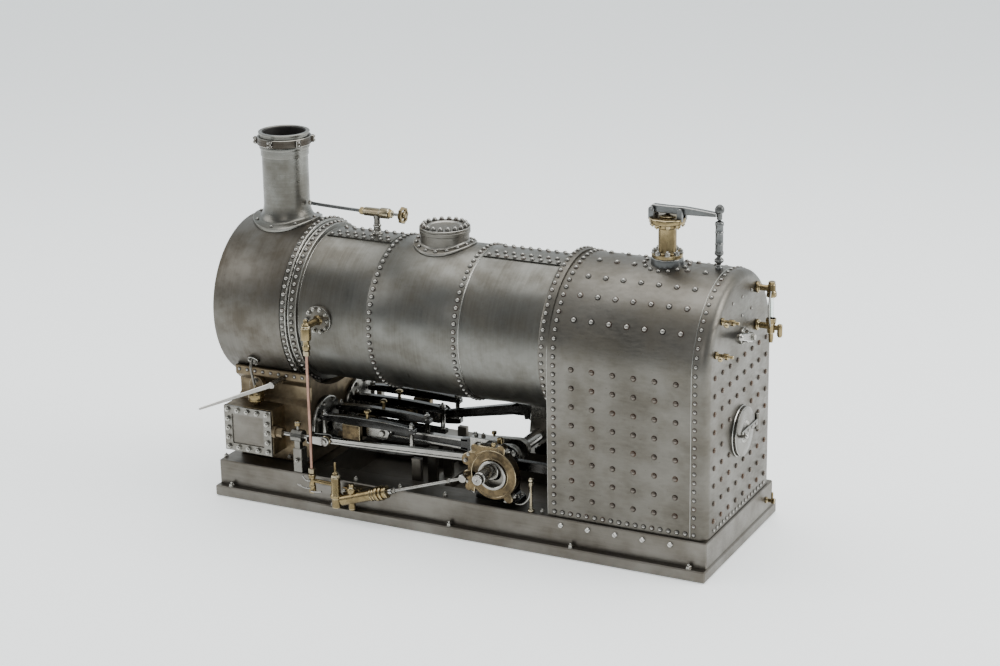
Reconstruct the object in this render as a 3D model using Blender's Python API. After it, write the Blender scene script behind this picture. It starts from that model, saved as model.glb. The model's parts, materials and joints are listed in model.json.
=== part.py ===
"""Undertype twin-cylinder steam engine: a locomotive-type boiler above its own engine, on a steel bed.

Frame: origin on the floor under the middle of the bed, +X from smokebox to firebox, +Z up, near side at -Y.
Dimensions are millimetres; MM turns them into Blender's metres as each solid is made.
"""

import math

import bmesh
import bpy
from mathutils import Matrix, Vector

MM = 0.001
GAP = 0.3               # air left between pieces that touch
RUNNING = 0.5          # air left round a turning or sliding piece
NEAR, FAR = -1, 1
SIDES = (("near", NEAR), ("far", FAR))

# Bed
BED_HALF = 267.5
BED_Y = 88
LEDGE_Y = 96
LEDGE_TOP = 11
PIT_FLOOR = 6
BED_TOP = 36.5
PIT_X = (-160, 92)
PIT_Y = 58

# Boiler
BOILER_Z = 192
BARREL_R = 75
STRAKE_R = 76.2         # the middle strake laps outside its neighbours
SEAMS = (-96, 5)
SHELL = 3
SMOKEBOX_X = (-267, -189)
SMOKEBOX_R = 84
SMOKEBOX_Z = 191
FIREBOX_X = (102, 248)
BACKHEAD_X = 264
FIREBOX_R = 84
CROWN_Z = 190
CHIMNEY_X = -226
MANHOLE_X = -46
SAFETY_X = 189
BALANCE_X = 240.5
BLOWER_X = -122
FIRE_HOLE = (0, 118)    # y, z of the fire hole's centre
FIRE_HOLE_R = 20
INNER_FIREBOX_X = (116, 242)
TUBE_R = 7
TUBES = [(y, z) for y in (-26, 0, 26) for z in (-40, -14)] + [(-50, -27), (50, -27)]    # y, z from the axis

# Engine
CRANK_X, CRANK_Z = 44, 74
THROW = 25
ROD_LENGTH = 119
FORK_REACH = 57.5       # crosshead pin to the fork's bridge: longer than the stroke plus the rod's eye
SLIPPER_BACK = 30       # slipper centre behind the crosshead pin
CYLINDER_Y = 33
CYLINDER_X = (-256, -172)
BORE_R = 20
PISTON_GAP = 0.6
PIN_ANGLE = {NEAR: 180, FAR: 90}
SHEAVE_ANGLE = {NEAR: -60, FAR: 210}
SHEAVE_THROW = 5
SHEAVE_R = 14.7
VALVE_Y = 83.5
VALVE_Z = 75
KNUCKLE_X = -140
BAR_Y = 16.5            # guide bar centre from the cylinder centre
BAR_HALF = 3.3
BAR_X = (-166.5, -58)
SLIDE_HALF = 8.3        # half the opening between the guide bars
PUMP_Y = -99.5
PUMP_TILT = 18.4
CHEST_X = (-256, -201)
CHEST_Z = (50, 97.5)

COLOURS = {
    "steel": ((0.36, 0.35, 0.33), 0.38, 1.0),
    "bright": ((0.62, 0.61, 0.59), 0.22, 1.0),
    "dark": ((0.10, 0.10, 0.10), 0.4, 1.0),
    "brass": ((0.62, 0.45, 0.16), 0.3, 1.0),
    "bronze": ((0.42, 0.30, 0.14), 0.42, 1.0),
    "copper": ((0.66, 0.38, 0.29), 0.35, 1.0),
    "glass": ((0.85, 0.92, 0.90), 0.08, 0.0),
}
FLATS = ((3, 6), (8, 10), (30, 14), (50, 20), (100, 32))      # below this radius, this many flats
SADDLE_SIDES = 48
STAND = {
    "X": Matrix.Rotation(math.radians(90), 4, "Y"),
    "Y": Matrix.Rotation(math.radians(-90), 4, "X"),
    "Z": Matrix.Identity(4),
}


# ---------------------------------------------------------------- outlines
def arc(centre, radius, start, end, steps):
    """Points of a circular arc, angles in degrees, both ends included."""
    turns = [math.radians(start + (end - start) * i / steps) for i in range(steps + 1)]
    return [(centre[0] + radius * math.cos(t), centre[1] + radius * math.sin(t)) for t in turns]


def polar(centre, radius, angle):
    """The point at an angle in degrees on a circle."""
    return arc(centre, radius, angle, angle, 1)[0]


def slab(start, end, radius_start, radius_end, steps=5):
    """Outline of a bar with round ends, like a lever or a crank web."""
    run = Vector(end) - Vector(start)
    heading = math.degrees(math.atan2(run.y, run.x))
    first = arc(start, radius_start, heading + 90, heading + 270, steps)
    return first + arc(end, radius_end, heading - 90, heading + 90, steps)


def smooth(points, steps=5):
    """A Catmull-Rom curve through the given points."""
    ends = [points[0]] + list(points) + [points[-1]]
    route = []
    for a, b, c, d in zip(ends, ends[1:], ends[2:], ends[3:]):
        a, b, c, d = Vector(a), Vector(b), Vector(c), Vector(d)
        for i in range(steps):
            t = i / steps
            bend = (2 * a - 5 * b + 4 * c - d) * t * t + (3 * b - a - 3 * c + d) * t * t * t
            route.append((2 * b + (c - a) * t + bend) / 2)
    return route + [Vector(points[-1])]


# ------------------------------------------------------------------ solids
def flats(radius):
    """How many flats stand for a round of this radius."""
    for limit, sides in FLATS:
        if radius < limit:
            return sides


def blank(bm, placing=None):
    """Closes a bmesh into a temporary object in metres, with its faces outward."""
    if placing:
        bm.transform(placing)
    bmesh.ops.recalc_face_normals(bm, faces=bm.faces)
    bm.transform(Matrix.Scale(MM, 4))
    mesh = bpy.data.meshes.new("blank")
    bm.to_mesh(mesh)
    bm.free()
    shape = bpy.data.objects.new("blank", mesh)
    bpy.context.collection.objects.link(shape)
    return shape


def soften(bm, width):
    """Bevels every edge sharper than 40 degrees."""
    sharp = [e for e in bm.edges if e.calc_face_angle(0) > math.radians(40)]
    bmesh.ops.bevel(bm, geom=sharp, offset=width, segments=1, affect="EDGES", clamp_overlap=True)


def box(low, high, edge=0.0):
    """A block between two corners."""
    bm = bmesh.new()
    size = Vector(high) - Vector(low)
    place = Matrix.Translation((Vector(low) + Vector(high)) / 2) @ Matrix.Diagonal(size.to_4d())
    bmesh.ops.create_cube(bm, size=1, matrix=place)
    if edge:
        bm.normal_update()
        soften(bm, edge)
    return blank(bm)


def prism(outline, axis, low, high, edge=0.0):
    """Extrudes an outline, drawn in the other two axes in X, Y, Z order, between two stations of axis."""
    bm = bmesh.new()
    index = "XYZ".index(axis)
    floor = []
    for a, b in outline:
        corner = [a, b]
        corner.insert(index, low)
        floor.append(bm.verts.new(corner))
    face = bm.faces.new(floor)
    grown = bmesh.ops.extrude_face_region(bm, geom=[face])["geom"]
    lift = Vector()
    lift[index] = high - low
    moved = [v for v in grown if isinstance(v, bmesh.types.BMVert)]
    bmesh.ops.translate(bm, verts=moved, vec=lift)
    if edge:
        bmesh.ops.recalc_face_normals(bm, faces=bm.faces)
        soften(bm, edge)
    return blank(bm)


def turned(profile, axis="Z", at=(0, 0, 0), sides=None, ring=False, tilt=None):
    """Turns (radius, station) pairs about an axis; a ring's profile closes on itself, clear of the axis."""
    sides = sides or flats(max(radius for radius, _ in profile))
    bm = bmesh.new()
    rows = []
    for radius, station in profile:
        count = sides if radius else 1
        angles = [2 * math.pi * (i + 0.5) / sides for i in range(count)]
        rows.append([bm.verts.new((radius * math.cos(a), radius * math.sin(a), station)) for a in angles])
    pairs = list(zip(rows, rows[1:]))
    if ring:
        pairs.append((rows[-1], rows[0]))
    for low, high in pairs:
        for i in range(sides):
            j = i + 1
            around = (low[i % len(low)], low[j % len(low)], high[j % len(high)], high[i % len(high)])
            bm.faces.new(dict.fromkeys(around))
    if not ring:
        for row in (rows[0], rows[-1]):
            if len(row) > 1:
                bm.faces.new(row)
    return blank(bm, Matrix.Translation(at) @ (tilt or Matrix.Identity(4)) @ STAND[axis])


def disc(radius, low, high, axis="Z", at=(0, 0, 0)):
    """A plain round between two stations."""
    return turned([(radius, low), (radius, high)], axis, at)


def rod(start, end, radius):
    """A straight round bar between two points."""
    start, end = Vector(start), Vector(end)
    aim = (end - start).to_track_quat("Z", "Y").to_matrix().to_4x4()
    return turned([(radius, 0), (radius, (end - start).length)], "Z", start, tilt=aim)


def ball(centre, radius):
    """A round ball."""
    rows = [(radius * math.sin(math.pi * i / 5), -radius * math.cos(math.pi * i / 5)) for i in range(1, 5)]
    return turned([(0, -radius)] + rows + [(0, radius)], "Z", centre)


def pipe(points, radius, steps=4):
    """A bent round bar along a smooth curve through the points."""
    sides = flats(radius)
    route = smooth(points, steps)
    bm = bmesh.new()
    facing = (route[1] - route[0]).normalized()
    across = facing.orthogonal().normalized()
    rows = []
    for i, spot in enumerate(route):
        before, after = route[max(i - 1, 0)], route[min(i + 1, len(route) - 1)]
        heading = (after - before).normalized()
        across = (facing.rotation_difference(heading) @ across).normalized()
        facing = heading
        beside = heading.cross(across)
        angles = [2 * math.pi * k / sides for k in range(sides)]
        rows.append([bm.verts.new(spot + radius * (across * math.cos(a) + beside * math.sin(a)))
                     for a in angles])
    for low, high in zip(rows, rows[1:]):
        for k in range(sides):
            bm.faces.new((low[k], low[k - 1], high[k - 1], high[k]))
    bm.faces.new(rows[0])
    bm.faces.new(rows[-1])
    return blank(bm)


def apply_boolean(body, tool, operation):
    """Joins or cuts one temporary solid with another and removes the tool."""
    cut = body.modifiers.new("cut", "BOOLEAN")
    cut.operation = operation
    cut.solver = "EXACT"
    cut.object = tool
    graph = bpy.context.evaluated_depsgraph_get()
    mesh = bpy.data.meshes.new_from_object(body.evaluated_get(graph))
    body.modifiers.clear()
    body.data = mesh
    bpy.data.objects.remove(tool)
    return body


def join(*shapes):
    """Unites overlapping solids."""
    body = shapes[0]
    for shape in shapes[1:]:
        apply_boolean(body, shape, "UNION")
    return body


def cut(body, *tools):
    """Takes the tools away from a solid."""
    for tool in tools:
        apply_boolean(body, tool, "DIFFERENCE")
    return body


def common(body, tool):
    """Keeps what two solids share."""
    return apply_boolean(body, tool, "INTERSECT")


def shade(colour):
    """One plain metal per colour name, made once."""
    known = bpy.data.materials.get(colour)
    if known:
        return known
    base, rough, metal = COLOURS[colour]
    material = bpy.data.materials.new(colour)
    material.use_nodes = True
    shader = material.node_tree.nodes["Principled BSDF"]
    shader.inputs["Base Color"].default_value = (*base, 1)
    shader.inputs["Roughness"].default_value = rough
    shader.inputs["Metallic"].default_value = metal
    return material


def finish(name, colour, body, pivot=(0, 0, 0)):
    """Names a solid, cleans it, puts its origin on its pivot and shades it."""
    bm = bmesh.new()
    bm.from_mesh(body.data)
    bmesh.ops.remove_doubles(bm, verts=bm.verts, dist=0.002 * MM)
    bmesh.ops.dissolve_degenerate(bm, edges=bm.edges, dist=0.002 * MM)
    bm.transform(Matrix.Translation(-Vector(pivot) * MM))
    bm.to_mesh(body.data)
    bm.free()
    body.name = body.data.name = name
    body.location = Vector(pivot) * MM
    body.data.materials.clear()
    body.data.materials.append(shade(colour))
    body.data.shade_smooth()
    body.data.set_sharp_from_angle(angle=math.radians(35))
    return body


def along_boiler(radius, low, high, height=BOILER_Z):
    """A round bar along the boiler, finely sided, for cutting saddles and openings."""
    return turned([(radius, low), (radius, high)], "X", (0, 0, height), SADDLE_SIDES)


# ------------------------------------------------------------ bed and frame
def make_bed():
    ledge = box((-BED_HALF, -LEDGE_Y, 0), (BED_HALF, LEDGE_Y, LEDGE_TOP), 1.2)
    body = box((-BED_HALF + 1.5, -BED_Y, 2), (BED_HALF - 1.5, BED_Y, BED_TOP), 1.0)
    pit = box((PIT_X[0], -PIT_Y, PIT_FLOOR), (PIT_X[1], PIT_Y, BED_TOP + 10))
    finish("bed", "steel", cut(join(ledge, body), pit))


def make_bearings():
    """A pedestal for each end of the crankshaft, with a stay to the firebox."""
    for word, side in SIDES:
        inner, outer = side * 58.3, side * 73
        stations = (min(inner, outer), max(inner, outer))
        foot = [(CRANK_X - 24, BED_TOP + GAP), (CRANK_X + 24, BED_TOP + GAP), (CRANK_X + 24, 42),
                (CRANK_X + 17, 46), (CRANK_X + 17, 72)]
        cap = arc((CRANK_X, CRANK_Z), 17, 5, 175, 10)
        body = prism(foot + cap + [(CRANK_X - 17, 72), (CRANK_X - 17, 46), (CRANK_X - 24, 42)],
                     "Y", *stations, 0.6)
        stay_y = (min(side * 60, side * 66), max(side * 60, side * 66))
        stay = box((CRANK_X + 12, stay_y[0], 69.5), (FIREBOX_X[0] - GAP, stay_y[1], 79), 0.5)
        bore = disc(6.5 + RUNNING, -90, 90, "Y", (CRANK_X, 0, CRANK_Z))
        finish(f"{word}_bearing", "dark", cut(join(body, stay), bore))


def make_motion_bracket():
    """A cross beam in the pit with a post under each pair of guide bars."""
    left, right = -62, -52
    body = box((left - 4, -PIT_Y + GAP, PIT_FLOOR + GAP), (right + 4, PIT_Y - GAP, 16.7), 0.6)
    for centre in (-CYLINDER_Y, CYLINDER_Y):
        for offset in (-BAR_Y, BAR_Y):
            y = centre + offset
            body = join(body, box((left, y - 3, 15), (right, y + 3, CRANK_Z - 16.8), 0.4))
    finish("motion_bracket", "dark", body)


def make_guide_bars():
    """Four pairs of fish-bellied bars, each joined by a distance pillar at both ends."""
    left, right = BAR_X
    middle = (left + right) / 2
    half = (right - left) / 2
    for word, side in SIDES:
        for place, offset in (("outer", side * BAR_Y), ("inner", -side * BAR_Y)):
            y = side * CYLINDER_Y + offset
            shapes = []
            for up in (1, -1):
                flat = CRANK_Z + up * SLIDE_HALF
                belly = [(middle + half * math.cos(math.pi * i / 8),
                          flat + up * (4.4 + 3.9 * math.sin(math.pi * i / 8))) for i in range(9)]
                shapes.append(prism([(left, flat), (right, flat)] + belly, "Y", y - BAR_HALF, y + BAR_HALF))
            pillars = [disc(3, CRANK_Z - 14, CRANK_Z + 18, "Z", (x, y, 0)) for x in (left + 4, right - 4.5)]
            name = f"{word}_{place}_guide_bars"
            finish(name, "bright" if (side, place) == (NEAR, "outer") else "dark",
                   join(*shapes, *pillars))


# ------------------------------------------------------------ cylinders
def make_cylinder_block():
    """Both cylinders, their steam chests and the saddle that carries the smokebox, in one casting."""
    wall, waist, flange = 63, 57, 65
    half = [(wall, BED_TOP + GAP), (wall, 98), (waist, 103), (waist, 117), (flange, 124),
            (flange, SMOKEBOX_Z - 58)]
    mirrored = [(-y, z) for y, z in reversed(half)]
    body = prism(half + mirrored, "X", *CYLINDER_X, 0.8)
    for side in (NEAR, FAR):
        low, high = sorted((side * 60, side * (VALVE_Y + 3)))
        body = join(body, box((CHEST_X[0], low, CHEST_Z[0]), (CHEST_X[1], high, CHEST_Z[1]), 0.5))
        chest = sorted((side * 69, side * (VALVE_Y + 10)))
        body = cut(body, box((CHEST_X[0] + 7, chest[0], 57), (CHEST_X[1] - 7, chest[1], 91)))
        gland_at = (0, side * VALVE_Y, VALVE_Z)
        body = join(body, turned([(2.9, -206), (2.9, -200.6), (7, -200.6), (7, -197), (5.4, -196.5), (5.4, -190)], "X",
                                 gland_at))
        body = cut(body, disc(2.4 + RUNNING, -212, -180, "X", gland_at))
        bore_at = (0, side * CYLINDER_Y, CRANK_Z)
        body = cut(body, disc(BORE_R, CYLINDER_X[0] - 5, CYLINDER_X[1] + 5, "X", bore_at))
    body = cut(body, along_boiler(SMOKEBOX_R + GAP, CYLINDER_X[0] - 5, CYLINDER_X[1] + 5, SMOKEBOX_Z))
    finish("cylinder_block", "bronze", body)


def make_covers():
    for word, side in SIDES:
        outward = sorted((side * (VALVE_Y + 3 + GAP), side * (VALVE_Y + 6.2)))
        border = box((CHEST_X[0], outward[0], CHEST_Z[0]), (CHEST_X[1], outward[1], CHEST_Z[1]), 0.4)
        panel = sorted((side * (VALVE_Y + 5), side * (VALVE_Y + 9)))
        recess = box((CHEST_X[0] + 9, panel[0], 58), (CHEST_X[1] - 9, panel[1], 89.5))
        finish(f"{word}_chest_cover", "steel", cut(border, recess))

        at = (0, side * CYLINDER_Y, CRANK_Z)
        front = CYLINDER_X[0] - GAP
        finish(f"{word}_front_cylinder_cover", "steel",
               turned([(15, front - 6), (17, front - 4.6), (26, front - 4.2), (27, front - 3.4), (27, front)],
                      "X", at))
        rear = CYLINDER_X[1] + GAP
        cover = turned([(27, rear), (27, rear + 3.2), (26, rear + 4), (8.5, rear + 4.4), (8, rear + 4.9),
                        (7, rear + 5.3)], "X", at)
        finish(f"{word}_rear_cylinder_cover", "steel",
               cut(cover, disc(3.5 + RUNNING, rear - 5, rear + 20, "X", at)))


# ------------------------------------------------------------ moving engine parts
def pin_of(side):
    """Crank pin centre (x, z) at rest."""
    return polar((CRANK_X, CRANK_Z), THROW, PIN_ANGLE[side])


def crosshead_of(side):
    """Crosshead pin x at rest: the connecting rod reaches back from the crank pin to the cylinder axis."""
    x, z = pin_of(side)
    return x - math.sqrt(ROD_LENGTH ** 2 - (z - CRANK_Z) ** 2)


def sheave_of(side):
    """Eccentric sheave centre (x, z) at rest."""
    return polar((CRANK_X, CRANK_Z), SHEAVE_THROW, SHEAVE_ANGLE[side])


def make_crankshaft():
    at = (CRANK_X, 0, CRANK_Z)
    body = disc(6.5, -22, 22, "Y", at)
    for side in (NEAR, FAR):
        px, pz = pin_of(side)
        middle = side * CYLINDER_Y
        for low, high in ((-13.5, -6.5), (6.5, 13.5)):
            web = prism(slab((CRANK_X, CRANK_Z), (px, pz), 10.5, 8.5, 7), "Y", middle + low, middle + high)
            body = join(body, web)
        body = join(body, disc(5, middle - 8, middle + 8, "Y", (px, 0, pz)))
        ends = [(6.5, 41), (6.5, 93), (6.1, 94), (6.1, 111), (5.2, 111.6), (5.2, 116.4), (4.6, 117)]
        stub = turned([(r, side * y) for r, y in ends], "Y", at)
        body = join(body, stub)
    finish("crankshaft", "bright", body, at)


def make_eccentrics():
    """Sheaves keyed on the shaft, each with a rim, a hub and a lightened web."""
    for word, side in SIDES:
        x, z = sheave_of(side)
        low, high = sorted((side * 77.5, side * 91))
        body = disc(SHEAVE_R, low, high, "Y", (x, 0, z))
        face = side * 93
        pocket = sorted((side * 84, face))
        hollow = disc(SHEAVE_R - 2.6, pocket[0], pocket[1], "Y", (x, 0, z))
        hub = disc(9.2, side * 74.5 - 40, side * 74.5 + 40, "Y", (CRANK_X, 0, CRANK_Z))
        body = cut(body, cut(hollow, hub))
        shaft = disc(6.5 + GAP, side * 80 - 40, side * 80 + 40, "Y", (CRANK_X, 0, CRANK_Z))
        finish(f"{word}_eccentric", "steel", cut(body, shaft), (x, 0, z))


def make_connecting_rods():
    """Fluted rods with a strapped big end and a round small end that carries the crosshead pin."""
    for word, side in SIDES:
        px, pz = pin_of(side)
        middle = side * CYLINDER_Y
        small = -ROD_LENGTH
        shank = [(-8, -6), (-8, 6), (-30, 5.4), (small, 4), (small, -4), (-30, -5.4)]
        body = prism(shank, "Y", middle - 3.4, middle + 3.4, 0.4)
        butt = prism([(-24, -10.5), (9, -10.5)] + arc((2, 0), 11.5, -55, 55, 6) + [(9, 10.5), (-24, 10.5),
                     (-30, 6), (-30, -6)], "Y", middle - 6.1, middle + 6.1, 0.6)
        eye = disc(7, middle - 4.9, middle + 4.9, "Y", (small, 0, 0))
        pin = disc(3.4, middle - 5.3, middle + 5.3, "Y", (small, 0, 0))
        body = join(body, butt, eye, pin)
        for face in (-1, 1):
            low, high = sorted((middle + face * 2.2, middle + face * 6))
            flute = prism([(-36, -2.6), (-36, 2.6), (small + 12, 1.8), (small + 12, -1.8)], "Y", low, high)
            body = cut(body, flute)
        body = cut(body, disc(5 + RUNNING, middle - 20, middle + 20, "Y", (0, 0, 0)))
        lean = math.asin((pz - CRANK_Z) / ROD_LENGTH)
        swing = Matrix.Translation(Vector((px, 0, pz)) * MM) @ Matrix.Rotation(-lean, 4, "Y")
        body.data.transform(swing)
        finish(f"{word}_connecting_rod", "bright", body, (px, 0, pz))


def make_crossheads():
    """Long-forked crossheads; the fork's bridge stands more than a stroke back from the rod's eye."""
    for word, side in SIDES:
        x = crosshead_of(side)
        y = side * CYLINDER_Y
        slide = x - SLIPPER_BACK
        body = box((x - FORK_REACH - 7, y - 9, CRANK_Z - 6), (x - FORK_REACH, y + 9, CRANK_Z + 6), 0.5)
        for hand in (-1, 1):
            cheek = sorted((y + hand * 5.7, y + hand * 9))
            boss = sorted((y + hand * 8, y + hand * 15))
            slipper = sorted((y + hand * (BAR_Y - BAR_HALF), y + hand * (BAR_Y + BAR_HALF)))
            shape = prism(slab((x - FORK_REACH - 2.5, CRANK_Z), (x, CRANK_Z), 4.5, 7.5), "Y", *cheek)
            block = box((slide - 10, slipper[0], CRANK_Z - SLIDE_HALF + 0.6),
                        (slide + 10, slipper[1], CRANK_Z + SLIDE_HALF - 0.6), 0.4)
            body = join(body, shape, disc(4.5, boss[0], boss[1], "Y", (slide, 0, CRANK_Z)), block)
        finish(f"{word}_crosshead", "bright", body, (x, y, CRANK_Z))


def make_pistons():
    """Piston and rod, up to the crosshead's fork."""
    for word, side in SIDES:
        x = crosshead_of(side)
        at = (0, side * CYLINDER_Y, CRANK_Z)
        head = x - 139
        profile = [(BORE_R - PISTON_GAP, head - 6), (BORE_R - PISTON_GAP, head + 6), (3.5, head + 6),
                   (3.5, x - FORK_REACH - 7 - GAP)]
        finish(f"{word}_piston", "bright", turned(profile, "X", at), (x, side * CYLINDER_Y, CRANK_Z))


def make_straps():
    """Bronze eccentric straps, each with its fluted rod; the near one also carries the pump's drive pin."""
    for word, side in SIDES:
        x, z = sheave_of(side)
        low, high = sorted((side * (VALVE_Y - 5), side * (VALVE_Y + 5)))
        body = disc(24.5, low, high, "Y", (x, 0, z))
        for angle, reach in ((128, 31), (212, 31), (305, 28), (72, 28)):
            root, tip = polar((x, z), 14, angle), polar((x, z), reach, angle)
            inner, outer = sorted((side * (VALVE_Y - 4), side * (VALVE_Y + 4)))
            body = join(body, prism(slab(root, tip, 6.5, 4.2), "Y", inner, outer))
        start = polar((x, z), 27, 152)
        end = (KNUCKLE_X, VALVE_Z)
        inner, outer = side * VALVE_Y - 2.2, side * VALVE_Y + 2.2
        blade = prism(slab(start, end, 4.2, 2.8), "Y", inner, outer)
        foot = prism(slab(polar((x, z), 20, 140), polar((x, z), 30, 158), 8, 6.5), "Y", low + 1.5, high - 1.5)
        knuckle = disc(5, side * VALVE_Y - 3, side * VALVE_Y + 3, "Y", (KNUCKLE_X, 0, VALVE_Z))
        body = join(body, foot, blade, knuckle)
        if side == NEAR:
            lug = polar((x, z), 27.5, 188)
            arm = prism(slab(polar((x, z), 18, 190), lug, 7, 4.5), "Y", low, high)
            body = join(body, arm, disc(2.4, -97, low + 1, "Y", (lug[0], 0, lug[1])))
        bore = disc(SHEAVE_R + RUNNING, low - 5, high + 5, "Y", (x, 0, z))
        finish(f"{word}_eccentric_strap", "bronze", cut(body, bore), (x, 0, z))


def make_valve_rods():
    """Clevis, rod and slide valve in one; the clevis stands clear of the knuckle's whole circle."""
    for word, side in SIDES:
        y = side * VALVE_Y
        bridge = KNUCKLE_X - 20
        body = box((bridge, y - 6, VALVE_Z - 4.5), (bridge + 4, y + 6, VALVE_Z + 4.5), 0.4)
        for hand in (-1, 1):
            cheek = sorted((y + hand * 3.6, y + hand * 6))
            body = join(body, prism(slab((bridge + 3, VALVE_Z), (KNUCKLE_X, VALVE_Z), 3.6, 4.8), "Y", *cheek))
            cap = sorted((y + hand * 5.5, y + hand * 7.4))
            body = join(body, turned([(3, cap[0]), (3, cap[1])], "Y", (KNUCKLE_X, 0, VALVE_Z), 6))
        stem = disc(2.4, -243.5, bridge + 1, "X", (0, y, VALVE_Z))
        low, high = sorted((side * 69.8, side * (VALVE_Y + 2)))
        valve = box((-240, low, VALVE_Z - 10), (-219, high, VALVE_Z + 10), 0.4)
        finish(f"{word}_valve_rod", "bright", join(body, stem, valve), (KNUCKLE_X, y, VALVE_Z))


def make_valve_guides():
    """A bracket on each bed rail that steadies the valve rod."""
    for word, side in SIDES:
        y = side * VALVE_Y
        low, high = sorted((side * 76, side * 87))
        post = box((-178, low, BED_TOP + GAP), (-168, high, 62), 0.5)
        eye = disc(6.5, -179, -167, "X", (0, y, VALVE_Z))
        neck = box((-176, y - 3, 60), (-170, y + 3, 70))
        cup = turned([(1.6, 0), (1.6, 5), (3.2, 6), (3.2, 9.5)], "Z", (-173, y, VALVE_Z + 5.5))
        bore = disc(2.4 + RUNNING, -185, -160, "X", (0, y, VALVE_Z))
        finish(f"{word}_valve_guide", "steel", cut(join(post, eye, neck, cup), bore))


# ------------------------------------------------------------ feed pump
def on_pump(distance, sideways=0.0):
    """A point on the pump's axis, measured back from the crank axis towards the pump."""
    tilt = math.radians(PUMP_TILT)
    return Vector((CRANK_X - distance * math.cos(tilt), PUMP_Y + sideways, CRANK_Z - distance * math.sin(tilt)))


def make_feed_pump():
    """Inclined barrel, two upright valve chambers, delivery elbow and the bracket to the bed's side."""
    body = rod(on_pump(118), on_pump(168), 5.6)
    for near_end, far_end, radius in ((113, 117, 6.2), (118.5, 121, 7.4), (123, 125.5, 7.4)):
        body = join(body, rod(on_pump(near_end), on_pump(far_end), radius))
    body = join(body, rod(on_pump(116), on_pump(130), 5.2))
    chamber = [(4.2, 12), (4.8, 13), (4.8, 22), (6, 23), (6, 26), (4.8, 27), (4.8, 44), (3, 46), (3, 49), (1.2, 50),
               (1.2, 60)]
    body = join(body, turned(chamber, "Z", (-122, PUMP_Y, 0)))
    second = [(2.2, 12), (3.6, 14), (3.6, 30), (4.6, 31), (4.6, 35), (3, 36), (3, 40)]
    body = join(body, turned(second, "Z", (-104, PUMP_Y, 0)))
    body = join(body, rod((-122, PUMP_Y, 36), (-148, PUMP_Y - 1.5, 37.5), 2.1))
    elbow = turned([(2.6, 24), (3.6, 25), (3.6, 32), (3, 33), (3, 40), (3.8, 40.5), (3.8, 44)], "Z",
                   (-148, PUMP_Y - 1.5, 0))
    bracket = box((-117, -95, 20), (-98, -BED_Y - GAP, 33), 0.5)
    body = join(body, elbow, bracket)
    finish("feed_pump", "brass", cut(body, rod(on_pump(105), on_pump(162), 3 + RUNNING)))


def make_pump_ram():
    """Ram with its long drive rod; the rod's eye lies beside the strap's drive pin."""
    tip = on_pump(25.5)
    ram = rod(on_pump(108), on_pump(150), 3)
    drive = rod(tip, on_pump(112), 1.6)
    eye = disc(4, PUMP_Y - 2, PUMP_Y + 2, "Y", (tip.x, 0, tip.z))
    finish("pump_ram", "bright", join(drive, ram, eye), tuple(on_pump(108)))


def make_delivery():
    """Copper delivery pipe from the pump's elbow to the clack valve on the barrel."""
    x, y = -148, PUMP_Y - 1.5
    pipe_top = 173
    port_z = 197.3
    finish("delivery_pipe", "copper", disc(1.6, 44 + GAP, pipe_top - GAP, "Z", (x, y, 0)))
    body = turned([(2.4, pipe_top), (4, pipe_top + 1), (4, 178), (3.2, 179), (3.2, 183), (5.2, 184), (5.2, 196),
                   (4, 197.5), (4, 200), (2.2, 201), (2.2, 204), (1.4, 205)], "Z", (x, y, 0))
    neck = disc(3.6, y, -70, "Y", (x, 0, port_z))
    flange = disc(14, -78.2, -68, "Y", (x, 0, port_z))
    barrel = along_boiler(BARREL_R + GAP, -200, -100)
    finish("clack_valve", "brass", cut(join(body, neck, flange), barrel))


# ------------------------------------------------------------ boiler
def make_smokebox():
    low, high = SMOKEBOX_X
    inner = SMOKEBOX_R - SHELL
    profile = [(42, low), (SMOKEBOX_R - 1.5, low), (SMOKEBOX_R, low + 1.5), (SMOKEBOX_R, high), (inner, high),
               (inner, low + SHELL), (42, low + SHELL)]
    shell = turned(profile, "X", (0, 0, SMOKEBOX_Z), ring=True)
    flue = disc(20, SMOKEBOX_Z + 60, SMOKEBOX_Z + 100, "Z", (CHIMNEY_X, 0, 0))
    finish("smokebox", "steel", cut(shell, flue))


def make_smokebox_door():
    """Dished round door with a hinge strap and a centre dart handle."""
    face = SMOKEBOX_X[0] - GAP
    at = (0, 0, SMOKEBOX_Z)
    body = turned([(46, face), (46, face - 2), (44, face - 3), (20, face - 4.6), (6, face - 5), (6, face - 8),
                   (3, face - 9)], "X", at)
    grip = box((face - 11, -1.6, SMOKEBOX_Z - 13), (face - 8, 1.6, SMOKEBOX_Z + 2), 0.5)
    straps = [box((face - 5.2, 8, SMOKEBOX_Z + z - 2.5), (face - 1, 50, SMOKEBOX_Z + z + 2.5), 0.3)
              for z in (-22, 22)]
    hinge = disc(2.2, SMOKEBOX_Z - 27, SMOKEBOX_Z + 27, "Z", (face - 3.2, 50, 0))
    finish("smokebox_door", "steel", join(body, *straps, hinge, grip), (face - 3.2, 50, SMOKEBOX_Z))


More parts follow.
